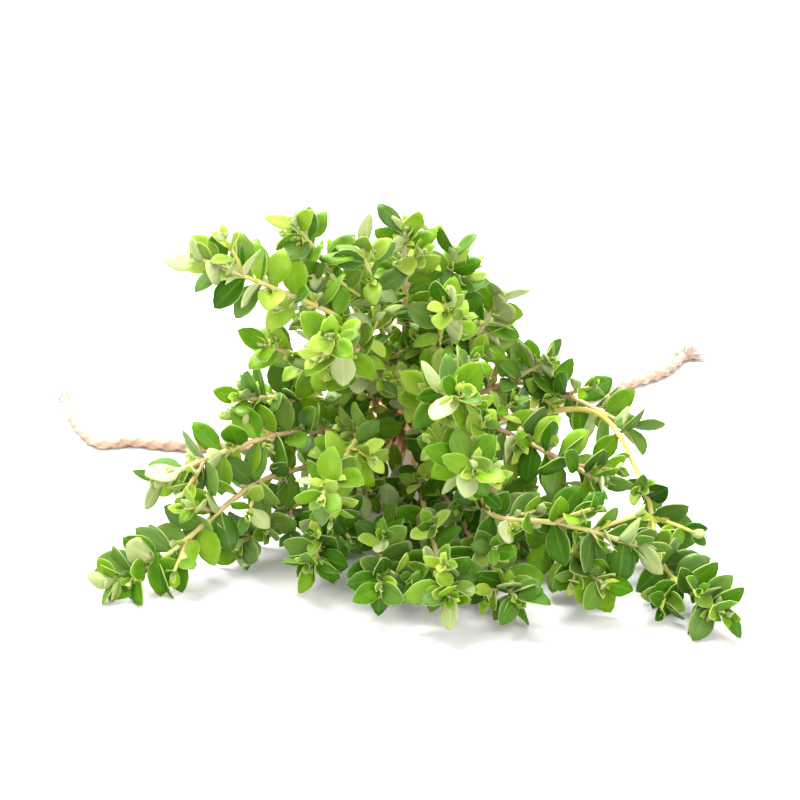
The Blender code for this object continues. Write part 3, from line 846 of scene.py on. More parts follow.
def placeLeaf(space, owner, line, distance, angle, lean, length, rng, tries, shrinks):
    # tries a leaf in its own place, then turned and leaned more and more, then smaller
    point, tangent, side = line.at(distance)
    for shrink in shrinks:
        size = length * shrink
        fallback = None
        for number in range(tries):
            reach = number / tries
            turn = angle + math.radians(clearLeaf["turn"]) * reach * rng.uniform(-1, 1)
            tilt = lean + clearLeaf["tilt"] * reach * rng.uniform(-1, 1)
            tilt += clearLeaf["tiltJitter"] * rng.uniform(-1, 1)
            roll = clearLeaf["rollJitter"] + clearLeaf["roll"] * reach
            roll = math.radians(roll) * rng.uniform(-1, 1)
            outward = side.copy()
            outward.rotate(Quaternion(tangent, turn))
            matrix = leafMatrix(point, tangent, outward, math.radians(tilt), roll)
            points, faces = placed(clearBlade(size), matrix)
            if min(p.z for p in points) < 0:
                continue
            wide = BVHTree.FromPolygons(*placed(wideBlade(size, bundle["gap"]), matrix))
            if space.hitsStem(owner, wide):
                continue
            free = placed(clearBlade(size, start=size * clearLeaf["free"]), matrix)
            freeTree = BVHTree.FromPolygons(*free)
            blocked, ownHits = space.leafHits(owner, points[-1], wide, freeTree)
            if blocked:
                continue
            found = (matrix, size, (pressed(points), faces), free)
            if not ownHits:
                return keepLeaf(space, owner, found)
            fallback = fallback or found
        if fallback:
            return keepLeaf(space, owner, fallback)
    return None


def keepLeaf(space, owner, found):
    matrix, size, shape, free = found
    space.addLeaf(owner, shape, free)
    return matrix, size


def placePairs(space, owner, line, nodes, phase, rng, tries=None, shrinks=None):
    # opposite leaves at each (distance from the tip, length, lean), a quarter turn apart
    leaves = []
    for number, (distance, length, lean) in enumerate(nodes):
        for opposite in (0, math.pi):
            leaf = placeLeaf(
                space, owner, line, line.length - distance,
                phase + opposite + number * math.pi / 2, lean,
                length * rng.uniform(*sprig["leafSpread"]), rng,
                tries or sprig["tries"], shrinks or sprig["shrinks"],
            )
            if leaf:
                leaves.append(leaf)
    return leaves


def sprigNodes(line):
    leafy = line.length - line.distances[2] - sprig["bareLength"]
    nodes = zip(sprig["pairDistances"], sprig["leafLengths"], sprig["leafLeans"])
    return [node for node in nodes if node[0] < leafy]


def placeShoot(space, owner, line, distance, angle, rng, lengths, tries):
    # a side shoot that bends towards the tip, clear of the other sprigs' stems
    point, tangent, side = line.at(distance)
    for number in range(tries):
        reach = number / tries
        outward = side.copy()
        outward.rotate(Quaternion(tangent, angle + math.pi * reach * rng.uniform(-1, 1)))
        length = rng.uniform(*lengths)
        lean = math.radians(shoot["lean"])
        ahead = outward * math.sin(lean) + tangent * math.cos(lean)
        bend = (tangent + Vector((0, 0, shoot["rise"]))) * shoot["bend"]
        points = [point + (ahead + bend * t / 2) * length * t for t in (0, 0.5, 1)]
        if min(p.z for p in points) < shoot["lowest"]:
            continue
        twig = Line(points, shoot["radius"], shoot["tipRadius"], tangent.cross(ahead))
        wide = clearTube(twig, shoot["sides"], margin=shoot["margin"])
        if not space.hitsStem(owner, BVHTree.FromPolygons(*wide)):
            space.addStem(owner, clearTube(twig, shoot["sides"]))
            return twig
    return None


def grow():
    # every sprig: its fine route, its line, its side shoots and its main leaves
    rng = random.Random(bundle["seed"])
    routes = sprigRoutes()
    spread(routes)
    space = Space()
    phases = [rng.uniform(0, math.tau) for _ in routes]
    sprigs = []
    for owner, route in enumerate(routes):
        x, z = route[0].x, route[0].z
        cut = rng.uniform(*bundle["cutLengths"])
        splay = rng.uniform(*bundle["cutSplays"])
        height = tieHeight() + (z - tieHeight()) * splay
        end = Vector((x * splay, cut, max(height, bundle["cutLowest"])))
        back = Vector((x, bundle["tieHalfLength"], z))
        bends = [end, back] + thinned(route, bundle["sectionLength"])
        line = Line(bends, sprig["radius"], sprig["tipRadius"], Vector((1, 0, 0)), phases[owner])
        sprigs.append({"line": line, "route": [end, back] + route, "phase": phases[owner]})
        space.addStem(owner, clearTube(line, sprig["sides"]))
    for owner, one in enumerate(sprigs):
        nodes = sprigNodes(one["line"])
        one["nodes"] = nodes
        one["shoots"] = []
        for number in shoot["pairs"]:
            if number < len(nodes):
                angle = one["phase"] + number * math.pi / 2 + rng.choice((0, math.pi))
                distance = one["line"].length - nodes[number][0]
                twig = placeShoot(space, owner, one["line"], distance, angle, rng,
                                  shoot["lengths"], shoot["tries"])
                if twig:
                    one["shoots"].append(twig)
    for owner, one in enumerate(sprigs):
        found = placePairs(space, owner, one["line"], one["nodes"], one["phase"], rng)
        one["leaves"] = [(one["line"], leaf, "main") for leaf in found]
        for twig in one["shoots"]:
            nodes = zip(shoot["pairDistances"], shoot["leafLengths"], shoot["leafLeans"])
            found = placePairs(space, owner, twig, nodes, rng.uniform(0, math.tau), rng)
            one["leaves"] += [(twig, leaf, "main") for leaf in found]
    return space, sprigs


# Finer growth: crowded tips, leaves between the pairs, twigs and a tuft in every axil

filling = {
    "seed": 8,
    # pairs as (distance from the tip, length, lean), also those of twigs, shoots and tufts
    "tipPairs": ((0.2, 2.6, 10), (0.7, 3.8, 19), (3.1, 6.2, 36)),
    "between": 5.0,  # pairs further apart than this get one between them
    "betweenLean": 62,
    "betweenSize": 0.9,
    "twigPairs": (2, 4, 6),  # of leaves that a twig grows beside
    "twigLengths": (6.0, 10.0),
    "twigNodes": ((0.3, 2.8, 12), (1.0, 4.4, 28), (3.4, 5.8, 48), (6.4, 6.4, 58)),
    "shootNodes": ((0.2, 2.6, 12), (6.8, 6.8, 58)),
    "tuftLength": 2.4,
    "tuftLean": 36,
    "tuftLeanJitter": 8,
    "tuftSpread": (0.7, 1.2),
    "tuftRadius": 0.3,
    "tuftNodes": ((0.1, 2.4, 16), (0.8, 3.6, 40)),
    "tries": 7,
    "shrinks": (1.0, 0.75),
    "twigTries": 6,
    "open": (  # places between the sprigs that stay open, and their radius
        ((54.5, -47, 16.7), 4.0), ((50, -42, 18), 6.5), ((-48, -77, 5.4), 3.0),
        ((-25.5, -55, 42), 3.0), ((-30.6, -52, 49.4), 3.0), ((-46.4, -64.5, 25.7), 3.0),
        ((-33, -69, 13.4), 3.0), ((-25, -47.6, 6.7), 3.0), ((-29, -63, 5), 3.0),
        ((32.2, -52, 19.6), 3.0), ((33, -60, 20), 4.0), ((37, -65.5, 21.8), 3.0),
        ((-8.5, -50, 62), 3.0), ((-7, -55, 63), 3.0), ((61.5, -69, 12), 3.0),
        ((45.5, -85.5, 20.3), 3.5), ((42.6, -29, 26), 3.0), ((-22, -84, 25.5), 3.0),
        ((63.3, -75.5, 11.5), 2.0), ((-54, -86.3, 2.8), 2.0),
    ),
}


def isOpen(point):
    return any((point - Vector(center)).length < radius for center, radius in filling["open"])


def prune(one):
    # finer growth comes off where the bunch stays open
    gone = [twig for twig in one["twigs"] + one["tufts"] if isOpen(twig.points[-1])]
    for kind in ("twigs", "tufts"):
        one[kind] = [twig for twig in one[kind] if twig not in gone]
    finer = one["leaves"][one["mainCount"]:]
    one["leaves"] = one["leaves"][:one["mainCount"]] + [
        (line, (matrix, size), kind) for line, (matrix, size), kind in finer
        if line not in gone and not isOpen(matrix @ Vector((size / 2, 0, 0)))]


def addTuft(space, owner, one, number, opposite, rng):
    # a tiny shoot in the axil of a leaf
    line = one["line"]
    point, tangent, side = line.at(line.length - one["nodes"][number][0])
    outward = side.copy()
    outward.rotate(Quaternion(tangent, one["phase"] + number * math.pi / 2 + opposite))
    jitter = filling["tuftLeanJitter"]
    lean = math.radians(filling["tuftLean"] + rng.uniform(-jitter, jitter))
    ahead = outward * math.sin(lean) + tangent * math.cos(lean)
    length = filling["tuftLength"] * rng.uniform(*filling["tuftSpread"])
    points = [point, point + ahead * length / 2, point + ahead * length]
    twig = Line(points, filling["tuftRadius"], filling["tuftRadius"], tangent.cross(ahead))
    found = placePairs(space, owner, twig, filling["tuftNodes"], rng.uniform(0, math.tau), rng,
                       filling["tries"], filling["shrinks"])
    if found:
        one["tufts"].append(twig)
        one["leaves"] += [(twig, leaf, "young") for leaf in found]


def fill(space, sprigs):
    rng = random.Random(filling["seed"])
    tries, shrinks = filling["tries"], filling["shrinks"]
    for owner, one in enumerate(sprigs):
        line, phase, nodes = one["line"], one["phase"], one["nodes"]
        one["tufts"] = []
        one["twigs"] = []
        one["mainCount"] = len(one["leaves"])
        found = placePairs(space, owner, line, filling["tipPairs"], phase + math.pi / 4, rng,
                           tries, shrinks)
        one["leaves"] += [(line, leaf, "young") for leaf in found]
        for number, (near, far) in enumerate(zip(nodes, nodes[1:])):
            if far[0] - near[0] > filling["between"]:
                middle = (near[0] + far[0]) / 2
                length = (near[1] + far[1]) / 2 * filling["betweenSize"]
                found = placePairs(space, owner, line, [(middle, length, filling["betweenLean"])],
                                   phase + (number + 0.5) * math.pi / 2, rng, tries, shrinks)
                one["leaves"] += [(line, leaf, "main") for leaf in found]
                one.setdefault("between", []).append(middle)
        for number in filling["twigPairs"]:
            if number < len(nodes):
                angle = phase + number * math.pi / 2 + rng.choice((0, math.pi))
                twig = placeShoot(space, owner, line, line.length - nodes[number][0], angle, rng,
                                  filling["twigLengths"], filling["twigTries"])
                if twig:
                    one["twigs"].append(twig)
                    rooted = [n for n in filling["twigNodes"] if n[0] < twig.length - 1]
                    found = placePairs(space, owner, twig, rooted, rng.uniform(0, math.tau), rng,
                                       tries, shrinks)
                    one["leaves"] += [(twig, leaf, "young") for leaf in found]
        for twig in one["shoots"]:
            found = placePairs(space, owner, twig, filling["shootNodes"],
                               rng.uniform(0, math.tau), rng, tries, shrinks)
            one["leaves"] += [(twig, leaf, "young") for leaf in found]
        for number in range(1, len(nodes)):
            for opposite in (0, math.pi):
                addTuft(space, owner, one, number, opposite, rng)
        prune(one)


# Leaves: a solid blade with a folded midrib, rolled edges and a thin rim, pale partly in its own
# colour and partly with painted light shining through the edge

leafShape = {
    "stops": (0.0, 0.12, 0.31, 0.55, 0.8, 1.0),  # shares of the length along the midrib
    "across": 4,
    "smallStops": (0.0, 0.3, 0.7, 1.0),
    "smallAcross": 2,
    "small": 4.4,  # shorter leaves have the plainer shape
    "petiole": 0.05,  # half its width, as a share of the leaf's length
    "petioleEnd": 0.07,
    "widest": 0.30,  # half the width, as a share of the length
    "forward": 0.92,  # below 1, the widest place is nearer the root
    "fullness": 0.66,  # below 1, the outline is fuller than a half wave
    "blunt": 0.26,  # how far the edges draw back from the tip
    "thickness": 0.024,
}
leafKinds = {  # width, cup, roll of the edges, curl of the tip, twist
    "old": (
        (1.00, 0.22, 0.12, 0.13, 4), (0.92, 0.34, 0.10, 0.20, -9), (1.08, 0.12, 0.14, 0.10, 8),
        (0.98, 0.46, 0.06, 0.06, -3), (0.86, 0.26, 0.20, 0.26, 14), (1.04, 0.05, 0.22, 0.16, -14),
    ),
    "young": (
        (0.90, 0.55, 0.04, -0.12, 5), (0.82, 0.70, 0.02, -0.05, -8), (0.96, 0.45, 0.08, -0.18, 3),
        (0.88, 0.35, 0.06, 0.08, -12),
    ),
}
leafColors = {
    "upper": ((0.0, (0.019, 0.074, 0.001)), (0.35, (0.053, 0.160, 0.002)),
              (0.65, (0.160, 0.298, 0.008)), (1.0, (0.410, 0.530, 0.080))),
    "paintedSheen": (0.12, 0.190, 0.048),  # painted sheen: a grey-green reflection painted all over some leaves
    "rib": (0.26, 0.37, 0.06),
    # margin and rim: the pale leaf edge is partly the rolled edge's own colour and partly painted
    # light shining through the thin edge
    "margin": (0.42, 0.52, 0.12),
    "lower": ((0.0, (0.18, 0.25, 0.085)), (0.5, (0.32, 0.38, 0.15)), (1.0, (0.49, 0.52, 0.30))),
    "lowerRib": (0.52, 0.58, 0.26),
    "rim": (0.50, 0.55, 0.24),
}
leafSway = {
    "roll": 26,
    "lean": 9,
    "flipShare": 0.1,  # of the larger leaves hang upside down
    "flipSize": 5.5,
    "open": (0, -0.93, 0.37),  # the open side, where no leaf shows only its edge
    "leastFace": 0.4,
}


def bladeWidth(t):
    start = leafShape["petioleEnd"]
    if t <= start:
        return leafShape["petiole"]
    share = min((t - start) / (1 - start), 1)
    bulge = max(math.sin(math.pi * share ** leafShape["forward"]), 0) ** leafShape["fullness"]
    return max(leafShape["widest"] * bulge, leafShape["petiole"])


def leafTemplate(kind, stops, across):
    # a leaf one unit long, from its root along +X, upper face to +Z
    wide, cup, roll, curl, twist = kind
    bm = bmesh.new()
    uv = bm.loops.layers.uv.new("UVMap")
    layers = {name: bm.faces.layers.float.new(name) for name in ("under", "tone", "young")}
    bmesh.ops.create_grid(bm, x_segments=len(stops) - 1, y_segments=across, size=0.5)
    for face in bm.faces:
        for loop in face.loops:
            place = round((loop.vert.co.x + 0.5) * (len(stops) - 1))
            loop[uv].uv = (stops[place], loop.vert.co.y + 0.5)
    for vert in bm.verts:
        stop = stops[round((vert.co.x + 0.5) * (len(stops) - 1))]
        s = vert.co.y * 2
        side = stop * (1 - leafShape["blunt"] * stop ** 2)
        t = side + (stop - side) * (1 - abs(s) ** 1.6)
        half = bladeWidth(side) * wide
        z = cup * half * abs(s) ** 1.6 - roll * half * abs(s) ** 3
        spot = Matrix.Rotation(math.radians(twist) * t, 3, "X") @ Vector((0, s * half, z))
        vert.co = (t * (1 - 0.1 * abs(curl) * t), spot.y, spot.z - curl * t * t)
    bmesh.ops.recalc_face_normals(bm, faces=bm.faces)
    if sum(face.normal.z for face in bm.faces) < 0:
        bmesh.ops.reverse_faces(bm, faces=bm.faces)
    upper = {vert.index for vert in bm.verts}
    bmesh.ops.solidify(bm, geom=bm.faces[:], thickness=leafShape["thickness"])
    bm.verts.index_update()
    for face in bm.faces:
        own = sum(vert.index in upper for vert in face.verts) / len(face.verts)
        face[layers["under"]] = {0: 1.0, 1: 0.0}.get(own, 0.5)
        face.smooth = True
    bmesh.ops.recalc_face_normals(bm, faces=bm.faces)
    mesh = bpy.data.meshes.new("leaf")
    bm.to_mesh(mesh)
    bm.free()
    return mesh


def leafMaterial():
    make = Maker("thymeLeaf")
    along, across = make.split(make.uv())
    tone, young, under = [make.attribute(name) for name in ("tone", "young", "under")]
    place = make.objectPlace()
    aside = abs(across - 0.5) * 2
    cloud = make.noise(place, 190, 3)
    rib = (1 - aside.step(0.0, 0.16)) * (1 - along * 0.8)
    margin = aside.step(0.84, 1.0)
    # tone holds each leaf's own tone and also painted light that pales the higher leaves
    shade = tone * 0.6 + cloud * 0.45 + young * 0.75 - 0.28
    upper = make.ramp(shade, *leafColors["upper"])
    # painted sheen: some leaves are painted grey-green all over, as if they caught the sky's
    # reflection
    paintedSheen = (((tone * 60).sine() + 1) / 2) ** 3
    upper = make.mix(paintedSheen * 0.55, upper, leafColors["paintedSheen"])
    upper = make.mix(rib * 0.3, upper, leafColors["rib"])
    # the edge of the upper face is painted paler, partly its own colour and partly painted light
    # shining through it
    upper = make.mix(margin * 0.2, upper, leafColors["margin"])
    lower = make.ramp(tone * 0.6 + cloud * 0.4, *leafColors["lower"])
    lower = make.mix(rib * 0.6, lower, leafColors["lowerRib"])
    isLower = under.step(0.6, 0.9)
    color = make.mix(isLower, upper, lower)
    isRim = under.step(0.2, 0.4) * (1 - isLower)
    # the rim faces are painted pale, partly their own colour and partly painted light shining
    # through the edge
    color = make.mix(isRim * 0.45, color, leafColors["rim"])
    sheen = make.noise(place, 120, 1).step(0.5, 0.65) * 0.32
    glands = make.noise(place, 2600, 1)
    height = glands * 0.35 - rib * 0.5 * (1 - isLower) + rib * isLower
    roughness = 0.46 + isLower * 0.3 + cloud * 0.12
    make.set(baseColor=color, roughness=roughness, specular=0.07, subsurface=0.22,
             subsurfaceRadius=(0.7, 1.0, 0.1), subsurfaceScale=0.0006,
             coatWeight=sheen, coatRoughness=0.4,
             normal=make.bump(height, 0.3, 0.0002))
    return make.material


def settle(one, line, matrix):
    # moves a leaf that grew on the coarse line to the fine stem
    root = one["line"] if line is one["line"] else None
    spot = matrix.translation if root else line.points[0]
    return nearest(one["fine"], spot) - spot


def nearest(line, spot):
    best = None
    for a, b in zip(line.points, line.points[1:]):
        point, share = intersect_point_line(spot, a, b)
        point = a.lerp(b, min(max(share, 0), 1))
        if best is None or (point - spot).length < (best - spot).length:
            best = point
    return best


leafAims = {  # more leaves, by sprig: distance from its tip, direction, upper side's, length
    1: ((68, (0.95, 0.1, 0.25), (0, -0.6, 0.8), 6.5),),
    8: (
        (13, (-0.6, 0.25, 0.75), (-0.1, -0.9, 0.3), 8),
        (11, (0.15, 0.35, 0.92), (0.7, -0.2, 0.1), 7.5),
        (18, (0.25, 0.3, 0.9), (-0.2, -0.8, 0.4), 8.8),
        (5, (-0.2, 0.1, 0.95), (0.5, -0.7, 0.2), 6.8),
    ),
    11: (
        (5, (-0.92, -0.1, -0.35), (-0.1, -0.95, 0.3), 7),
        (6, (-0.97, 0.05, 0.15), (0, -0.5, 0.85), 8),
        (10, (-0.35, -0.3, -0.88), (-0.4, -0.85, 0.2), 8.5),
    ),
    12: (
        (7, (-0.95, 0.12, 0.28), (0.2, -0.6, 0.75), 9.8),
        (5, (-1, 0, 0.05), (0, -0.55, 0.85), 8.6),
        (7, (-0.7, -0.52, -0.49), (0, -0.93, 0.37), 8.8),
        (25, (0.05, -0.36, -0.93), (0, -0.9, 0.4), 9),
        (20, (-0.35, -0.45, -0.8), (-0.3, -0.8, 0.5), 8.5),
    ),
    16: (
        (4, (-0.1, -0.35, -0.92), (0.1, -0.9, 0.4), 9.4),
        (9, (-0.25, -0.3, -0.9), (-0.2, -0.9, 0.4), 9),
    ),
    25: (
        (6, (0.95, -0.1, -0.3), (0, -0.8, 0.6), 8.8),
        (5, (-0.9, -0.25, 0.1), (0, 0.6, -0.8), 6.5),
    ),
}
sidePairs = {  # pairs that stand out to either side of a stem, as the open side sees it
    "distances": {  # by sprig, from its tip
        1: (7, 15, 24, 34, 40), 2: (8, 15, 24, 34), 3: (5, 8, 24), 4: (4, 8, 12, 15), 5: (5, 15),
        6: (5, 15, 24), 7: (5, 15, 24, 40), 8: (5, 11, 15, 24), 9: (24, 46), 10: (15, 19),
        11: (15, 24, 34, 46), 12: (1, 5, 11, 15, 24, 29, 40, 52), 13: (1,), 14: (5,), 15: (1, 3),
        16: (11, 19), 17: (5, 15, 24, 34, 46), 18: (15, 24, 29), 20: (5, 15), 23: (3, 6),
        24: (3, 11),
    },
    "lean": 64,
    "shortest": 5.6,
    "growth": 0.4,  # of the length with the distance from the tip
    "longest": 9.4,
    "middle": 0.7,  # the share of its length where a leaf is tested against the open places
}


def aimed(line, distance, ahead, upper):
    # stands a leaf on a stem in a given direction
    along = Vector(ahead).normalized()
    upper = Vector(upper)
    upper = (upper - along * upper.dot(along)).normalized()
    matrix = Matrix((along, upper.cross(along), upper)).transposed().to_4x4()
    matrix.translation = line.at(line.length - distance)[0]
    return matrix


def sideLeaves(number, line):
    lean = math.radians(sidePairs["lean"])
    leaves = []
    for distance in sidePairs["distances"].get(number, ()):
        tangent = line.at(line.length - distance)[1]
        out = tangent.cross(Vector(leafSway["open"])).normalized()
        size = min(sidePairs["shortest"] + sidePairs["growth"] * distance, sidePairs["longest"])
        for edge in (1, -1):
            ahead = out * edge * math.sin(lean) + tangent * math.cos(lean)
            matrix = aimed(line, distance, ahead, leafSway["open"])
            if not isOpen(matrix @ Vector((size * sidePairs["middle"], 0, 0))):
                leaves.append((None, (matrix, size), "side"))
    return leaves


def sway(matrix, size, kind, rng):
    # rolls a leaf about its own length and leans it a little; a few hang upside down
    roll = rng.gauss(0, leafSway["roll"])
    if kind == "main" and size > leafSway["flipSize"] and rng.random() < leafSway["flipShare"]:
        roll += 180
    lean = rng.gauss(0, leafSway["lean"])
    turned = matrix @ Matrix.Rotation(math.radians(roll), 4, "X")
    return faceOpen(turned @ Matrix.Rotation(math.radians(lean), 4, "Y"))


def faceOpen(matrix):
    # rolls a leaf on until it shows enough of a face to the open side
    along, _, upper = matrix.to_3x3().transposed()
    ahead = Vector(leafSway["open"])
    ahead -= along * ahead.dot(along)
    if ahead.length < leafSway["leastFace"]:
        return matrix
    widest = math.acos(leafSway["leastFace"] / ahead.length)
    angle = math.atan2(upper.cross(ahead).dot(along), upper.dot(ahead))
    wanted = widest if abs(angle) < math.pi / 2 else math.pi - widest
    if widest < abs(angle) < math.pi - widest:
        matrix = matrix @ Matrix.Rotation(angle - math.copysign(wanted, angle), 4, "X")
    return matrix


leafTone = {
    "spread": 0.24,
    "level": 22.0,
    "paintedLightPerHeight": 0.005,  # painted light: leaves are painted paler towards the top, where more light falls
    "sprigs": (0.25, 0.7),
    "young": (0.45, 1.0),
    "old": (0, 0.35),
    "more": {  # paler or deeper sprigs
        7: -0.08, 8: -0.08, 9: 0.16, 10: 0.16, 11: 0.16, 12: 0.16, 13: 0.16,
        14: -0.16, 15: -0.16, 21: 0.16, 22: 0.16, 23: 0.16, 24: -0.16,
    },
}


def makeLeaves(number, one, templates, material, rng):
    bm = bmesh.new()
    aims = [(None, (aimed(one["fine"], *aim[:3]), aim[3]), "aimed")
            for aim in leafAims.get(number, ())]
    for line, (matrix, size), kind in one["leaves"] + aims + sideLeaves(number, one["fine"]):
        age = "young" if kind == "young" else "old"
        small = size < leafShape["small"]
        mesh = rng.choice(templates[age, "small" if small else "large"]).copy()
        count = len(mesh.polygons)
        # painted light: a leaf's tone is raised the higher it stands
        paintedTopLight = (matrix.translation.z - leafTone["level"]) * leafTone["paintedLightPerHeight"]
        tone = one["tone"] + leafTone["more"].get(number, 0) + paintedTopLight
        tone += rng.gauss(0, leafTone["spread"])
        tone = min(max(tone, 0), 1)
        young = rng.uniform(*leafTone[age])
        mesh.attributes["tone"].data.foreach_set("value", [tone] * count)
        mesh.attributes["young"].data.foreach_set("value", [young] * count)
        if kind != "aimed":
            matrix = sway(matrix, size, kind, rng)
        if line:
            matrix = Matrix.Translation(settle(one, line, matrix)) @ matrix
        mesh.transform(matrix @ Matrix.Diagonal((size, size, size, 1)))
        low = min(vert.co.z for vert in mesh.vertices)
        if low < 0:
            mesh.transform(Matrix.Translation((0, 0, -low)))
        bm.from_mesh(mesh)
        bpy.data.meshes.remove(mesh)
    return toPiece(f"leaves{number:02d}", bm, material, [f"sprig_{number:02d}"])


# Stems: four rounded edges, a swelling at every pair of leaves, pale cut ends

stem = {
    "around": 8,
    "step": 1.6,
    "square": 0.07,
    "swelling": 0.26,
    "swellingLength": 0.9,
    "firstScar": 4,  # from the cut end
    "bareNodes": 9,  # between the old leaf scars on the bare lower stem
    "twigAround": 6,
    "blunt": 0.6,  # the last ring, as a share of its radius
    "stubs": (3, 4, 9, 18, 19, 21, 25, 26),  # sprigs with a side shoot broken off short
    "stubPair": 4,  # from the tip
    "stubLength": 3.8,
    "stubRadius": 0.95,
    "yellow": {1: 1.0, 8: 0.7, 11: 0.1, 12: 0.4, 16: 0.6},  # sprigs with yellow or pink stems
    "pinkBark": ((0.0, (0.40, 0.46, 0.10)), (0.2, (0.58, 0.38, 0.20)),
                 (0.55, (0.52, 0.28, 0.18)), (1.0, (0.36, 0.21, 0.11))),
    "yellowBark": ((0.0, (0.42, 0.50, 0.07)), (0.3, (0.62, 0.56, 0.11)),
                   (0.65, (0.58, 0.44, 0.10)), (1.0, (0.38, 0.24, 0.10))),
    "streaks": (0.30, 0.15, 0.09),
    "patches": (0.74, 0.58, 0.40),
    "knobs": (0.72, 0.52, 0.42),
    "pith": ((0.62, 0.66, 0.38), (0.80, 0.78, 0.58)),
}


def stemMaterial():
    make = Maker("thymeStem")
    uv = make.uv()
    tone, age, knob, cut = [make.attribute(n) for n in ("tone", "age", "knob", "cut")]
    streaks = make.noise(make.node("ShaderNodeMapping", inputs={0: uv, 3: (7, 0.35, 1)}), 1.0, 3)
    cloud = make.noise(make.objectPlace(), 240, 3)
    color = make.mix(tone, make.ramp(age, *stem["pinkBark"]), make.ramp(age, *stem["yellowBark"]))
    color = make.mix(streaks.step(0.5, 0.8) * 0.45, color, stem["streaks"])
    color = make.mix(cloud.step(0.5, 0.75) * 0.4, color, stem["patches"])
    color = make.mix(knob * 0.45, color, stem["knobs"])
    pith = make.mix(cloud.step(0.35, 0.7), *stem["pith"])
    color = make.mix(cut, color, pith)
    make.set(baseColor=color, roughness=0.58 + cloud * 0.2, specular=0.3, subsurface=0.1,
             subsurfaceRadius=(1.0, 0.6, 0.3), subsurfaceScale=0.0005,
             normal=make.bump(streaks * 0.7 + cloud * 0.3, 0.4, 0.0002))
    return make.material


def stemTube(line, nodes, around, tone, ages, pale=0.0):
    # nodes are the distances where it swells, ages the first and last age of its wood
    def swell(distance):
        near = min((abs(distance - node) for node in nodes), default=99)
        return math.exp(-(near / stem["swellingLength"]) ** 2)

    def place(u, row):
        angle = math.tau * u + line.turn
        corner = 1 + stem["square"] * math.cos(4 * (angle - math.pi / 4 - line.turn))
        radius = line.radiusAt(line.distances[row]) * corner
        radius *= 1 + stem["swelling"] * swell(line.distances[row])
        if row == len(line.points) - 1:
            radius *= stem["blunt"]
        return line.points[row] + line.outward(row, angle) * radius

    bm = rolled(place, around, len(line.points) - 1, (1, line.length))
    uv = bm.loops.layers.uv.verify()
    layers = {name: bm.faces.layers.float.new(name) for name in ("tone", "age", "knob", "cut")}
    for face in bm.faces:
        flat = len(face.verts) > 4
        along = sum(loop[uv].uv.y for loop in face.loops) / len(face.loops)
        share = along / line.length
        face[layers["tone"]] = tone
        face[layers["age"]] = ages[0] * (1 - share) + ages[1] * share
        face[layers["knob"]] = max(swell(along), pale)
        face[layers["cut"]] = 1.0 if flat and ages[0] == 1 else 0.0
    return bm


def stub(line, distance):
    # what is left of a side shoot, a short pale peg that leans towards the light
    point, tangent, side = line.at(distance)
    out = Vector((0, -0.5, 1))
    out = (out - tangent * out.dot(tangent)).normalized()
    ahead = (out + tangent * 0.6).normalized() * stem["stubLength"]
    peg = Line([point + ahead * t for t in (0, 0.35, 0.7, 1)], stem["stubRadius"],
               stem["stubRadius"] * 0.85, side)
    return stemTube(peg, (stem["stubLength"],), stem["twigAround"], 0.2, (0.4, 0.4), pale=1.0)


def makeStem(number, one, material):
    line = one["fine"]
    bareLength = int(one["line"].distances[2])
    scars = list(range(stem["firstScar"], bareLength, stem["bareNodes"]))
    pairs = [line.length - node[0] for node in one["nodes"]]
    pairs += [line.length - middle for middle in one.get("between", ())]
    bm = stemTube(line, scars + pairs, stem["around"], one["yellow"], (1, 0))
    for twig in one["shoots"] + one["twigs"] + one["tufts"]:
        shift = nearest(line, twig.points[0]) - twig.points[0]
        points = [point + shift for point in twig.points]
        route = smoothRoute(points, points[1] - points[0], stem["step"])
        fine = Line(route, *twig.radii, twig.sides[0])
        takeIn(bm, stemTube(fine, (), stem["twigAround"], one["yellow"], (0.45, 0)))
    if number in stem["stubs"] and len(pairs) > stem["stubPair"]:
        takeIn(bm, stub(line, pairs[stem["stubPair"]]))
    return toPiece(f"stem{number:02d}", bm, material, [f"sprig_{number:02d}"])


def makeSprigs():
    leafLook, stemLook = leafMaterial(), stemMaterial()
    space, sprigs = grow()
    fill(space, sprigs)
    mainLeaves = sum(one["mainCount"] for one in sprigs)
    withTufts = sum(len(one["leaves"]) for one in sprigs)
    print(f"leaves: {mainLeaves} main ones, {withTufts} with those of tufts and twigs")
    grids = {
        "large": (leafShape["stops"], leafShape["across"]),
        "small": (leafShape["smallStops"], leafShape["smallAcross"]),
    }
    templates = {(age, size): [leafTemplate(kind, *grid) for kind in kinds]
                 for age, kinds in leafKinds.items() for size, grid in grids.items()}
    rng = random.Random(bundle["seed"] + 1)
    for number, one in enumerate(sprigs, start=1):
        one["tone"] = rng.uniform(*leafTone["sprigs"])
        one["yellow"] = stem["yellow"].get(number, rng.random() ** 1.5)
        one["fine"] = evenLine(one["route"], stem["step"], sprig["radius"], sprig["tipRadius"],
                               Vector((1, 0, 0)), one["phase"])
        makeStem(number, one, stemLook)
        makeLeaves(number, one, templates, leafLook, rng)
    foliage = [obj.data for obj in bpy.data.objects if obj.name.startswith("leaves")]
    print(f"sprigs: {len(sprigs)}, with {sum(len(mesh.polygons) for mesh in foliage)} leaf faces")


# Table and light

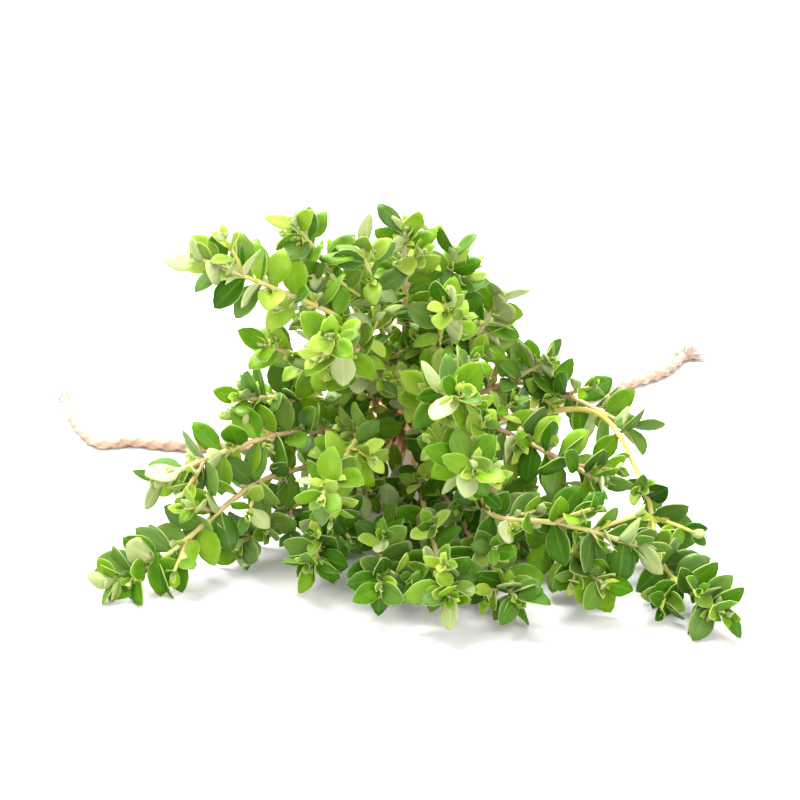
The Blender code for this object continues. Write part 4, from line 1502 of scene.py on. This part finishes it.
studio = {
    "floorSize": 6.0,
    "floorColors": ((0.65, 0.633, 0.636), (0.66, 0.65, 0.65)),
    "worldStrength": 0.9,
    "lamps": (  # name, place, aimed at, size, power
        ("key", (-0.2, 0.45, 0.9), (0, -0.05, 0.03), 0.8, 42),
        ("fill", (0.4, -0.9, 0.6), (0, -0.05, 0.03), 0.8, 11),
        ("left", (-0.8, -0.3, 0.6), (0, -0.05, 0.03), 0.7, 5),
    ),
}


def makeStudio():
    bm = bmesh.new()
    bmesh.ops.create_grid(bm, x_segments=1, y_segments=1, size=studio["floorSize"] / 2)
    mesh = bpy.data.meshes.new("floor")
    bm.to_mesh(mesh)
    bm.free()
    make = Maker("floor")
    cloud = make.noise(make.objectPlace(), 3, 2).step(0.2, 0.8)
    make.set(baseColor=make.mix(cloud, *studio["floorColors"]), roughness=0.8, specular=0.2)
    mesh.materials.append(make.material)
    floor = bpy.data.objects.new("floor", mesh)
    bpy.context.scene.collection.objects.link(floor)
    floor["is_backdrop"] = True
    world = bpy.data.worlds.new("studio")
    world.use_nodes = True
    sky = world.node_tree.nodes["Background"].inputs
    sky["Color"].default_value = (1, 1, 1, 1)
    sky["Strength"].default_value = studio["worldStrength"]
    bpy.context.scene.world = world
    for name, place, target, size, power in studio["lamps"]:
        data = bpy.data.lights.new(name, "AREA")
        data.size = size
        data.energy = power
        lamp = bpy.data.objects.new(name, data)
        lamp.location = place
        lamp.rotation_euler = (Vector(target) - Vector(place)).to_track_quat("-Z", "Y").to_euler()
        bpy.context.scene.collection.objects.link(lamp)
    bpy.context.scene.view_settings.view_transform = "Standard"


makeCamera()
twineLook = twineMaterial("twine", 0.0)
# a paler copy of the twine material for the loose fibres, as painted light
fibreLook = twineMaterial("fibre", 0.75)
makeTail("left", twineLook, fibreLook)
makeTail("right", twineLook, fibreLook)
makeTie(twineLook)
print("twine: tie, knot and two tails")
makeSprigs()
makeStudio()
print("table and light")

sides = {"cad": cadBox, "visual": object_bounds()}
{key: [list(corner) for corner in box] for key, box in sides.items()}
